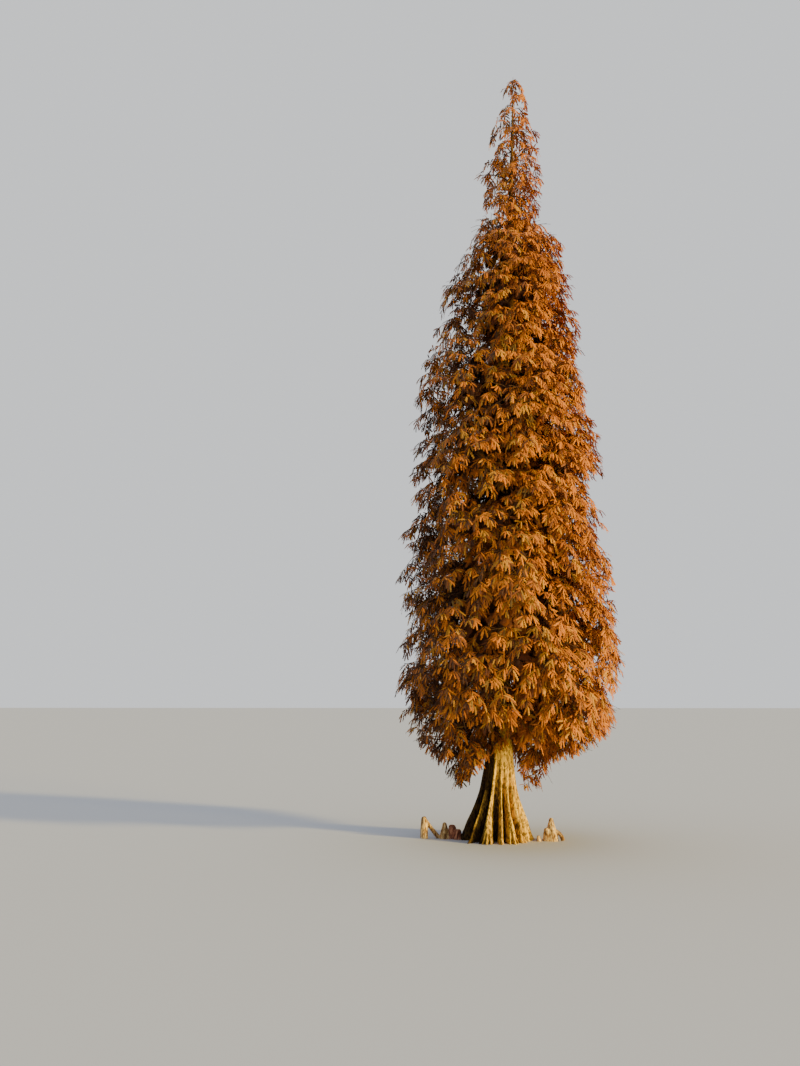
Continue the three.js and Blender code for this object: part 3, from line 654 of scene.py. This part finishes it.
def grow_foot(rng):
    """The finely ribbed foot of the trunk."""
    toes = np.linspace(0, TOE_TOP, FOOT_RINGS[0])[:-1]
    heights = np.concatenate([toes, np.linspace(TOE_TOP, FOOT_END, FOOT_RINGS[1])])
    z, turn = bark_grid(heights, AROUND["foot"])
    sway = 0.07 * (hills(rng, turn, z / FOOT_END, 13, 5) - 0.5) * np.clip(z / TOE_TOP, 0, 1)
    ribbed, high = foot_radius(np.minimum(z, FOOT_TOP), TAU * turn + sway)
    out = lerp(ribbed, read(SHAFT_RADIUS, z), share_of(z, 1.0, FOOT_TOP))
    relief = strips(rng, turn, z / FOOT_END, 46, 4)
    out += read(FOOT_BARK, z) * (relief - 0.7) + 0.006 * (hills(rng, turn, z / FOOT_END, 20, 3) - 0.5)
    # Low in the grooves between ribs the colour falls to as little as 0.08 of itself: painted shade in the
    # grooves.
    relief = lerp(1, relief, read(FOOT_FURROWS, z)) * lerp(0.08, 1, np.clip(1.35 * high, 0, 1))
    return bark_wall(z, turn, out, relief, damp_share(turn + sway / TAU, z, rng))


def grow_shaft(rng):
    """The plainer trunk above its foot."""
    slim = np.linspace(SLIM["from"], SHAFT_TOP, SLIM["rings"])
    z, turn = bark_grid([*np.arange(FOOT_END + 0.03, SLIM["from"], SHAFT_STEP), *slim], AROUND["shaft"])
    relief = strips(rng, turn, (z - FOOT_END) / 8.4, 16, 60)
    radius = read(SHAFT_RADIUS, z)
    out = radius + np.minimum(0.006, 0.05 * radius) * (relief - 0.7)
    return bark_wall(z, turn, out, relief, damp_share(turn, z, rng))


def grow_trunk():
    """The whole trunk: foot and shaft, the seam between them, and both ends."""
    rng = np.random.default_rng(SEED + 7)
    foot, foot_relief, foot_damp, rings = grow_foot(rng)
    shaft, shaft_relief, shaft_damp, shaft_rings = grow_shaft(rng)
    fine, plain = AROUND["foot"], AROUND["shaft"]
    seam = (rings - 1) * fine
    first, step, k = len(foot), fine // plain, np.arange(plain)
    after = (k + 1) % plain
    joins = [np.stack([first + k, seam + step * k + step // 2, first + after], -1)[:, ::-1]]
    for i in range(step):
        upper = first + (k if i < step // 2 else after)
        joins.append(np.stack([seam + step * k + i, seam + (step * k + i + 1) % fine, upper], -1))
    ends = np.array([trunk_middle(0), trunk_middle(SHAFT_TOP + 0.01)])
    base, tip = first + len(shaft), first + len(shaft) + 1
    ring = np.arange(fine)
    joins.append(np.stack([(ring + 1) % fine, ring, np.full(fine, base)], -1))
    last = base - plain
    joins.append(np.stack([last + k, last + after, np.full(plain, tip)], -1))
    quads = np.concatenate([wall_faces(rings, fine), wall_faces(shaft_rings, plain) + first])
    relief = np.concatenate([foot_relief, shaft_relief, [0.5, 0.5]])
    damp = np.concatenate([foot_damp, shaft_damp, [0, 0]])
    return np.concatenate([foot, shaft, ends]), [quads, np.concatenate(joins)], relief, damp


def grow_limbs():
    """A tapering tube for every limb, in rough bark, that swells where it leaves the trunk."""
    rng = np.random.default_rng(SEED + 11)
    s = np.linspace(0, 0.985, LIMB_RINGS) ** 1.15
    middles = np.array([limb.at(s) for limb in limbs])
    ways = np.array([limb.along(s) for limb in limbs])
    thick = np.array([limb.radius(s) for limb in limbs])
    bark = np.array([float(read(SHAFT_RADIUS, limb.root[2])) for limb in limbs])[:, None]
    run = np.array([limb.length for limb in limbs])[:, None] * s
    collar = 1 + 0.9 * np.exp(-np.maximum(run - bark, 0) / (1.6 * thick[:, :1]))
    collar[-1] = 1
    rise, turn = bark_grid(s, AROUND["limb"])
    rough = np.stack([hills(rng, turn, rise, 5, 20) for _ in limbs])
    radius = (thick * collar)[:, :, None] * lerp(0.84, 1.14, rough)
    points, faces = tubes(middles, ways, radius, AROUND["limb"])
    return points, faces, rough.ravel()


def knee_cone(x, y, height, foot, top):
    """An upright cone with a rounded top."""
    rounded = KNEE_TOP["from"] + KNEE_TOP["tall"] * np.sin(np.linspace(0.2, 1.5, 7))
    share = np.concatenate([KNEE_RINGS, rounded])
    flare = lerp(top, foot, read(KNEE_FLARE, share))
    round_off = np.sqrt(np.clip(1 - ((share - KNEE_TOP["from"]) / KNEE_TOP["tall"]) ** 2, 0.002, 1))
    flare = flare * np.where(share > KNEE_TOP["from"], round_off, 1)
    middles = np.stack([0 * share + x, 0 * share + y, share * height], -1)[None]
    return tubes(middles, np.broadcast_to(UP, middles.shape), flare[None], AROUND["knee"])


def knee_arm(start, by, end, radius):
    """A low arm that runs through three places."""
    bend = np.array([[start, by, end]])
    bend[:, 1] = 2 * bend[:, 1] - (bend[:, 0] + bend[:, 2]) / 2
    return twig_tubes(bend, 0.85 * radius, 1.1 * radius, AROUND["arm"], 12)


def melted(parts):
    """The points and quads of one even skin over tubes that overlap, each closed at its ends. Parts
    are points, faces and corners of a ring."""
    points, faces, start = [], [], 0
    for place, wall, sides in parts:
        ring = start + np.arange(sides)[None]
        faces += [wall + start, ring[:, ::-1], len(place) - sides + ring]
        points.append(place)
        start += len(place)
    rough = add_mesh("rough_knee", np.concatenate(points), faces, [])
    melt = rough.modifiers.new("melt", "REMESH")
    melt.mode, melt.voxel_size = "VOXEL", KNEE_MELT
    ease = rough.modifiers.new("ease", "SMOOTH")
    ease.factor, ease.iterations = 0.5, 4
    shaped = rough.evaluated_get(bpy.context.evaluated_depsgraph_get()).to_mesh()
    place = np.empty(3 * len(shaped.vertices), np.float32)
    shaped.vertices.foreach_get("co", place)
    corners = np.empty(len(shaped.loops), np.int32)
    shaped.loops.foreach_get("vertex_index", corners)
    bpy.data.objects.remove(rough)
    return place.reshape(-1, 3).astype(float), corners.reshape(-1, 4)


def grow_knee(cones, arms):
    """A knee: cones and arms, melted into one body with a streaked skin."""
    rng = np.random.default_rng(SEED + int(1e4 * (cones[0][0] + 2)))
    parts = [(*knee_cone(*cone), AROUND["knee"]) for cone in cones]
    place, quads = melted(parts + [(*knee_arm(*arm), AROUND["arm"]) for arm in arms])
    axes = np.array([cone[:2] for cone in cones])
    near = np.linalg.norm(place[:, None, :2] - axes[None], axis=-1).argmin(1)
    away = place[:, :2] - axes[near]
    turn = (np.arctan2(away[:, 1], away[:, 0]) / TAU) % 1
    relief = strips(rng, turn, place[:, 2] / 0.3, 11, 2)
    lump = hills(rng, turn, place[:, 2] / 0.3, 5, 3) - 0.3
    push = 0.004 * (relief - 0.7) + 0.012 * lump
    fade = np.clip(np.linalg.norm(away, axis=1) / 0.02, 0, 1)
    place[:, :2] += unit(away) * (push * fade)[:, None]
    place[:, 2] = np.maximum(place[:, 2], 0)
    return place, quads, relief


def spray_template(pairs, foot):
    """One flat spray: needles to the left and right of its stalk in turn, each with its own foot.
    Gives each point as shares along, across and off the spray's plane, and the faces."""
    points, faces = [], []
    half_foot = 0.5 * foot / pairs
    for i in range(2 * pairs):
        side = 1 if i % 2 else -1
        u = (i + 1) / (2 * pairs + 1)
        wide = 1 - 0.5 * abs(2 * (u - 0.47)) ** 3
        lift = 0.12 if i % 4 < 2 else -0.1
        points += [(max(u - half_foot, 0), 0, 0), (min(u + half_foot, 1), 0, 0)]
        points.append((min(u + 0.09, 1.03), side * wide, lift))
        faces.append((3 * i, 3 * i + 1, 3 * i + 2) if i % 2 else (3 * i + 1, 3 * i, 3 * i + 2))
    return np.array(points, float), np.array(faces)


def grow_sprays(twigs, layer, limb, rng):
    """Sprays along side twigs, as arrays: foot, way, normal, length, half width, sag and twig."""
    count = np.round(bend_lengths(twigs) / np.array(SPRAY_SPACING)[layer]).astype(int)
    count = np.maximum(count, 3)
    twig = np.repeat(np.arange(len(twigs)), count)
    step = np.arange(len(twig)) - np.repeat(np.cumsum(count) - count, count)
    u = (step + 1.0) / count[twig]
    last = step == count[twig] - 1
    foot, way = bend_at(twigs[twig], u[:, None])[:, 0], bend_way(twigs[twig], u[:, None])[:, 0]
    face = unit(less_along(UP * 0.8 + unit(foot - trunk_middle(foot[:, 2])) * 0.6, way))
    roll = rng.normal(0, SPRAY_VARY["roll"], len(twigs))[twig][:, None]
    across = np.cross(way, face)
    across, face = across * np.cos(roll) + face * np.sin(roll), face * np.cos(roll) - across * np.sin(roll)
    sign = np.where((step + twig) % 2, 1.0, -1.0)
    open_by = np.where(last, 0.0, lerp(*SPRAY_OPEN, u)) + rng.normal(0, SPRAY_VARY["open"], len(twig))
    on = way * np.cos(open_by)[:, None] + across * (sign * np.sin(open_by))[:, None]
    on = unit(on + rng.normal(0, SPRAY_VARY["way"], on.shape) - UP * SPRAY_FALL)
    face = unit(less_along(unit(face + rng.normal(0, SPRAY_VARY["face"], face.shape)), on))
    long = np.array(SPRAY_LENGTH)[layer][twig] * lerp(1, 0.85, limb.share)
    long = long * rng.uniform(*SPRAY_VARY["long"], len(twig)) * (1 - 0.3 * np.abs(u - 0.5))
    half = np.array(SPRAY_HALF)[layer][twig] * long * rng.uniform(*SPRAY_VARY["half"], len(twig))
    half *= read(WIDER_TOP, foot[:, 2])
    sag = rng.uniform(*SPRAY_SAG, len(twig))
    tip = foot + on * long[:, None] - UP * (sag * long)[:, None]
    keep = fits(tip, read(SPRAY_MARGIN, tip[:, 2]), *SPRAY_ROOM)
    keep &= (layer[twig] < 2) | fits(tip, *INNER_SPRAYS, SPRAY_ROOM[1])
    return [part[keep] for part in (foot, on, face, long, half, sag, twig)]


def spray_mesh(pairs, needle_foot, foot, on, face, long, half, sag):
    """The points and faces of many sprays at once."""
    template, faces = spray_template(pairs, needle_foot)
    side = np.cross(on, face)
    u, v, lift = (template[None, :, k : k + 1] for k in range(3))
    long, half, sag = long[:, None, None], half[:, None, None], sag[:, None, None]
    points = (
        foot[:, None]
        + on[:, None] * long * u
        - UP * long * sag * u * u
        + side[:, None] * half * v
        + face[:, None] * half * (lift - 0.3 * np.abs(v))
    )
    shift = (np.arange(len(foot)) * len(template))[:, None, None]
    return points.reshape(-1, 3), (faces[None] + shift).reshape(-1, 3)


def add_mesh(name, points, faces, materials, smooth=False, **kept):
    """A mesh object from arrays. faces is one array, or a list of arrays of different corner counts.
    Other arrays are kept on the points under their own names, for a material to read."""
    faces = faces if isinstance(faces, list) else [faces]
    mesh = bpy.data.meshes.new(name)
    mesh.vertices.add(len(points))
    mesh.vertices.foreach_set("co", np.ascontiguousarray(points, np.float32).ravel())
    corners = np.concatenate([f.ravel() for f in faces]).astype(np.int32)
    sizes = np.concatenate([np.full(len(f), f.shape[1]) for f in faces])
    starts = np.concatenate([[0], np.cumsum(sizes)[:-1]]).astype(np.int32)
    mesh.loops.add(len(corners))
    mesh.loops.foreach_set("vertex_index", corners)
    mesh.polygons.add(len(sizes))
    mesh.polygons.foreach_set("loop_start", starts)
    mesh.polygons.foreach_set("use_smooth", np.full(len(sizes), smooth))
    mesh.update(calc_edges=True)
    for label, values in kept.items():
        layer = mesh.attributes.new(label, "FLOAT", "POINT")
        layer.data.foreach_set("value", np.ascontiguousarray(values, np.float32))
    for material in materials:
        mesh.materials.append(material)
    thing = bpy.data.objects.new(name, mesh)
    bpy.context.scene.collection.objects.link(thing)
    return thing


def fill_inputs(tree, node, inputs):
    """Gives each input that is named a value, or a link from a socket."""
    for name, value in inputs.items():
        if isinstance(value, bpy.types.NodeSocket):
            tree.links.new(value, node.inputs[name])
        else:
            node.inputs[name].default_value = value


def add_node(tree, kind, inputs={}, **settings):
    node = tree.nodes.new(kind)
    for name, value in settings.items():
        setattr(node, name, value)
    fill_inputs(tree, node, inputs)
    return node


def reckon(tree, operation, *values, kind="ShaderNodeMath", **settings):
    """The result of a sum on sockets and numbers."""
    return add_node(tree, kind, dict(enumerate(values)), operation=operation, **settings).outputs[0]


def kept_value(tree, label):
    """What a mesh keeps on its points under that name."""
    return add_node(tree, "ShaderNodeAttribute", attribute_name=label).outputs["Fac"]


def new_material(name, inputs):
    material = bpy.data.materials.new(name)
    material.use_nodes = True
    fill_inputs(material.node_tree, material.node_tree.nodes["Principled BSDF"], inputs)
    return material


def plain_material(name, colour, roughness):
    return new_material(name, {"Base Color": (*colour, 1), "Roughness": roughness, "Specular IOR Level": 0.12})


def make_fibre_group():
    """Long fibres in bark: fine streaks, coarse patches and flecks, each from 0 to 1."""
    group = bpy.data.node_groups.new("bark_fibre", "ShaderNodeTree")
    for name, kind in {"Stretch": "Vector", "Fleck size": "Vector", "Patches": "Float"}.items():
        group.interface.new_socket(name, in_out="INPUT", socket_type="NodeSocket" + kind)
    for name in ("Streaks", "Patch", "Flecks", "Height"):
        group.interface.new_socket(name, in_out="OUTPUT", socket_type="NodeSocketFloat")

    def noise(**inputs):
        return add_node(group, "ShaderNodeTexNoise", inputs).outputs["Fac"]

    given = add_node(group, "NodeGroupInput").outputs
    place = add_node(group, "ShaderNodeTexCoord").outputs["Object"]
    long = reckon(group, "MULTIPLY", place, given["Stretch"], kind="ShaderNodeVectorMath")
    short = reckon(group, "MULTIPLY", place, given["Fleck size"], kind="ShaderNodeVectorMath")
    streaks = noise(Vector=long, Scale=1.0, Detail=5.0, Roughness=0.62, Distortion=0.25)
    patch = noise(Vector=place, Scale=given["Patches"], Detail=3.0)
    spots = noise(Vector=short, Scale=1.0, Detail=3.0, Distortion=0.8)
    cut = {"Value": spots, "From Min": 0.51, "From Max": 0.6}
    flecks = add_node(group, "ShaderNodeMapRange", cut).outputs["Result"]
    height = reckon(group, "SUBTRACT", streaks, flecks)
    add_node(group, "NodeGroupOutput", {"Streaks": streaks, "Patch": patch, "Flecks": flecks, "Height": height})
    return group


def ramp(tree, share, stops):
    """Colours by a share from 0 to 1, straight between the stops."""
    made = add_node(tree, "ShaderNodeValToRGB", {"Fac": share})
    while len(made.color_ramp.elements) < len(stops):
        made.color_ramp.elements.new(0.5)
    for element, (at, colour) in zip(made.color_ramp.elements, stops):
        element.position, element.color = at, (*colour, 1)
    return made.outputs["Color"]


def mixed(tree, share, first, second, most=1.0, mode="MIX"):
    """A socket's colour mixed with a plain one, where share is a socket that runs from 0 to 1."""
    factor = reckon(tree, "MULTIPLY", share, most, use_clamp=True)
    mix = add_node(tree, "ShaderNodeMix", {"Factor": factor}, data_type="RGBA", blend_type=mode)
    into = [i for i in mix.inputs if i.type == "RGBA"]
    tree.links.new(first, into[0])
    into[1].default_value = (*second, 1)
    return [o for o in mix.outputs if o.type == "RGBA"][0]


fibre = make_fibre_group()


def bark_material(name, stops, stretch, fleck_size, patches, patch_colour, fleck_colour, bump, upper=None):
    """Bark coloured by how high each point stands in it, which on the trunk's foot holds painted shade in the
    grooves, with streaks, patches and flecks over that.
    upper is for the trunk: its colour high up, and the painted shade that its mesh keeps on the side away from
    the lamps."""
    material = new_material(name, {"Specular IOR Level": 0.2})
    tree = material.node_tree
    grain = {"Stretch": stretch, "Fleck size": fleck_size, "Patches": patches}
    grain = add_node(tree, "ShaderNodeGroup", grain, node_tree=fibre).outputs
    lower = reckon(tree, "MULTIPLY_ADD", kept_value(tree, "relief"), 0.75, -0.65)
    level = reckon(tree, "MULTIPLY_ADD", grain["Streaks"], 1.4, lower)
    colour = mixed(tree, grain["Patch"], ramp(tree, level, stops), patch_colour, 0.5, "MULTIPLY")
    colour = mixed(tree, grain["Flecks"], colour, fleck_colour, 0.68)
    if upper:
        place = add_node(tree, "ShaderNodeTexCoord").outputs["Object"]
        z = add_node(tree, "ShaderNodeSeparateXYZ", {0: place}).outputs["Z"]
        climb = {"Value": z, "From Min": upper["from"], "From Max": upper["to"]}
        climb = add_node(tree, "ShaderNodeMapRange", climb).outputs["Result"]
        colour = mixed(tree, climb, colour, upper["colour"], 0.8)
        # Painted shade: the trunk's side away from the lamps is darkened almost to black.
        colour = mixed(tree, kept_value(tree, "damp"), colour, (0.07, 0.055, 0.05), 0.96, "MULTIPLY")
    rough = {"Value": grain["Streaks"], "To Min": 0.95, "To Max": 0.72}
    raised = {"Strength": bump, "Distance": 0.006, "Height": grain["Height"]}
    fill_inputs(tree, tree.nodes["Principled BSDF"], {
        "Base Color": colour,
        "Roughness": add_node(tree, "ShaderNodeMapRange", rough).outputs["Result"],
        "Normal": add_node(tree, "ShaderNodeBump", raised).outputs["Normal"],
    })
    return material


# Camera at the photograph's viewing angle
lens = bpy.data.cameras.new("camera")
lens.lens, lens.sensor_width = 27.5, 36
camera = bpy.data.objects.new("camera", lens)
camera.location = (0, -9.85, 1.49)
camera.rotation_euler = (math.radians(90 + 11.92), 0, math.radians(6.43))
bpy.context.scene.collection.objects.link(camera)
bpy.context.scene.camera = camera

# Foliage
TINTS = {  # base colours of the sprays and how many in a hundred have each, from the outside inward; the dark ones go mostly inside, as painted shade
    "orange": ((0.54, 0.18, 0.022), (25, 15, 4)),
    "copper": ((0.48, 0.15, 0.022), (18, 16, 6)),
    "rust": ((0.39, 0.118, 0.022), (17, 16, 8)),
    "russet": ((0.205, 0.07, 0.025), (13, 22, 32)),
    "golden": ((0.5, 0.228, 0.03), (14, 9, 2)),
    "olive": ((0.28, 0.15, 0.035), (8, 8, 8)),
    "brown": ((0.11, 0.05, 0.027), (5, 14, 40)),
}
ALIKE = 0.55  # the share of sprays that take the tint of their side twig
BRIGHTER_ABOVE = [(2.0, 1.1), (5.0, 1.0), (8.0, 0.78)]  # with height, the first tints gain on the last ones
PAINTED_LIGHT_TO_SHADE = (0.77, 1.6)  # and from the right to the left, the last, darker ones gain: painted light on the crown's lit right, painted shade on its left
tint_runs = np.cumsum([shares for _, shares in TINTS.values()], axis=0) / 100


def deal_tints(foot, layer, twig, twigs, rng):
    """The number of each spray's tint. Darker tints go more to the inner crown and to its left, away from the
    lamps, and lighter ones to its right: painted shade and painted light.
    """
    dealt = np.where(rng.random(len(twig)) < ALIKE, rng.random(twigs)[twig], rng.random(len(twig)))
    z, angle, _ = round_trunk(foot)
    # Painted light and shade: lighter tints on the crown's right, darker ones on its left.
    dealt = dealt * read(BRIGHTER_ABOVE, z) * lerp(*PAINTED_LIGHT_TO_SHADE, leftward(angle) ** 2)
    return (np.minimum(dealt, 0.9999)[None] > tint_runs[:, layer]).sum(0)


def grow_crown():
    """Every branch and its radius, every twig and side twig, and every spray with its tint and its
    layer, which is 0 in the outer crown, 1 in the middle and 2 inside."""
    knots, knot_owner, tips, tip_knot, tip_owner, tip_layer = crown_places(np.random.default_rng(SEED))
    grown = []
    for limb in limbs:
        rng = np.random.default_rng(SEED + LIMB_SEEDS * limb.index + 31)
        mine = np.flatnonzero(knot_owner == limb.index)
        own = tip_owner == limb.index
        branches, radius = grow_branches(limb, knots[mine], rng)
        twigs = np.empty((0, 3, 3))
        if len(mine):
            knot = np.clip(np.searchsorted(mine, tip_knot[own]), 0, len(mine) - 1)
            twigs = grow_twigs(branches, tips[own], knot, rng)
        if limb.leader:
            ends = grow_leader_twigs(limb, rng)
        else:
            ends = np.array([limb.at(at + np.array(LIMB_ENDS["bends"])) for at in LIMB_ENDS["at"]])
        layer = np.concatenate([tip_layer[own][: len(twigs)], np.zeros(len(ends), int)])
        twigs = np.concatenate([twigs, ends])
        side_twigs, layer = grow_side_twigs(twigs, layer, limb, rng)
        *sprays, twig = grow_sprays(side_twigs, layer, limb, rng)
        tint = deal_tints(sprays[0], layer[twig], twig, len(side_twigs), rng)
        grown.append([branches, radius, twigs, side_twigs, tint, layer[twig], *sprays])
    return [np.concatenate(column) for column in zip(*grown)]


branch_bends, branch_radii, twig_bends, side_bends, spray_tints, spray_layers, *sprays = grow_crown()
for number, (name, (colour, _)) in enumerate(TINTS.items()):
    parts = []
    for layer, (pairs, needle_foot) in enumerate(zip(NEEDLE_PAIRS, NEEDLE_FOOT)):
        chosen = (spray_tints == number) & (spray_layers == layer)
        parts.append(spray_mesh(pairs, needle_foot, *[part[chosen] for part in sprays]))
    leaves = add_mesh(f"sprays_{name}", *joined(parts), [plain_material(f"needles_{name}", colour, 0.6)])
    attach(leaves, "root")
    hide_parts(*[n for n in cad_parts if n.startswith("foliage")])

# Bark, with its colours from the furrows to the strips
trunk_bark = bark_material(
    "trunk_bark",
    stops=[
        (0.0, (0.018, 0.01, 0.005)), (0.25, (0.085, 0.045, 0.013)), (0.5, (0.55, 0.32, 0.05)),
        (0.85, (0.92, 0.6, 0.08)),
    ],
    stretch=(70.0, 70.0, 20.0), fleck_size=(38.0, 38.0, 20.0), patches=4.0,
    patch_colour=(1.0, 0.82, 0.5), fleck_colour=(0.06, 0.03, 0.008), bump=1.0,
    upper={"from": 3.0, "to": 7.5, "colour": (0.17, 0.08, 0.035)},
)
limb_bark = bark_material(
    "limb_bark",
    stops=[(0.0, (0.03, 0.016, 0.01)), (0.5, (0.085, 0.045, 0.026)), (1.0, (0.17, 0.1, 0.06))],
    stretch=(40.0, 40.0, 25.0), fleck_size=(30.0, 30.0, 30.0), patches=9.0,
    patch_colour=(1.0, 0.8, 0.62), fleck_colour=(0.035, 0.02, 0.012), bump=0.6,
)
KNEE_GRAIN = {"stretch": (70.0, 70.0, 14.0), "fleck_size": (45.0, 45.0, 22.0), "patches": 14.0, "bump": 0.7}
knee_bark = bark_material(
    "knee_bark",
    stops=[
        (0.0, (0.05, 0.026, 0.01)), (0.3, (0.24, 0.13, 0.045)), (0.5, (0.62, 0.42, 0.17)),
        (0.8, (0.86, 0.66, 0.34)),
    ],
    patch_colour=(1.0, 0.74, 0.46), fleck_colour=(0.2, 0.09, 0.035), **KNEE_GRAIN,
)
red_knee_bark = bark_material(
    "red_knee_bark",
    stops=[
        (0.0, (0.04, 0.014, 0.008)), (0.3, (0.16, 0.055, 0.03)), (0.55, (0.4, 0.16, 0.085)),
        (0.9, (0.62, 0.33, 0.19)),
    ],
    patch_colour=(1.0, 0.66, 0.5), fleck_colour=(0.12, 0.035, 0.02), **KNEE_GRAIN,
)

# Trunk, limbs, knees and twigs
# The trunk's mesh keeps its relief and the painted shade of its side away from the lamps.
points, faces, relief, damp = grow_trunk()
trunk = add_mesh("trunk_bark", points, faces, [trunk_bark], smooth=True, relief=relief, damp=damp)
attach(trunk, "root")
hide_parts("trunk")

points, faces, relief = grow_limbs()
boughs = add_mesh("limbs", points, faces, [limb_bark], smooth=True, relief=relief)
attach(boughs, "root")
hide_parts(*[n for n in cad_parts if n.startswith("bough")])

for name, knee in KNEES.items():
    points, faces, relief = grow_knee(**knee)
    skin = red_knee_bark if name == "knee_left_inner" else knee_bark
    grown = add_mesh(name + "_bark", points, faces, [skin], smooth=True, relief=relief)
    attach(grown, "root")
    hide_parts(name)

points, faces = joined([
    twig_tubes(branch_bends, branch_radii, BRANCH_TIP, 5, 6),
    twig_tubes(twig_bends, *TWIG_RADIUS, 3, 4),
    twig_tubes(side_bends, *SIDE_RADIUS, 3, 2),
])
twigs = add_mesh("twigs", points, faces, [plain_material("twig_bark", (0.09, 0.045, 0.022), 0.85)], smooth=True)
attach(twigs, "root")
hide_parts(*[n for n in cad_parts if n.startswith("foliage")])

# Light and floor. The camera sees a paler sky than the one that lights the tree.
SKY_SEEN = {"Color": (0.86, 0.88, 0.9, 1), "Strength": 1.0}
SKY_LIGHT = {"Color": (0.84, 0.9, 1.0, 1), "Strength": 0.54}
LAMPS = (  # strength, width in degrees, the way it comes from, colour
    ("key", 5.7, 5, (0.95, -0.31, 0.26), (1.0, 0.78, 0.28)),
    ("low_key", 3.6, 12, (0.85, -0.47, 0.05), (1.0, 0.78, 0.28)),
    ("overhead", 1.0, 70, (-0.1, 0.15, 0.98), (0.78, 0.86, 1.0)),
)
FLOOR_HALF = 400.0
world = bpy.data.worlds.new("studio")
bpy.context.scene.world = world
world.use_nodes = True
sky = world.node_tree
fill_inputs(sky, sky.nodes["Background"], SKY_SEEN)
shades = {
    0: add_node(sky, "ShaderNodeLightPath").outputs["Is Camera Ray"],
    1: add_node(sky, "ShaderNodeBackground", SKY_LIGHT).outputs[0],
    2: sky.nodes["Background"].outputs[0],
}
fill_inputs(sky, sky.nodes["World Output"], {"Surface": add_node(sky, "ShaderNodeMixShader", shades).outputs[0]})
for name, strength, spread, way, tone in LAMPS:
    lamp = bpy.data.lights.new(name, "SUN")
    lamp.energy, lamp.angle, lamp.color = strength, math.radians(spread), tone
    stand = bpy.data.objects.new(name, lamp)
    stand.rotation_euler = Vector(way).to_track_quat("Z", "Y").to_euler()
    bpy.context.scene.collection.objects.link(stand)
corners = FLOOR_HALF * np.array([[-1, -1, 0], [1, -1, 0], [1, 1, 0], [-1, 1, 0]])
floor_paint = plain_material("floor_paint", (0.56, 0.56, 0.57), 0.9)
floor = add_mesh("floor", corners, np.array([[0, 1, 2, 3]]), [floor_paint])
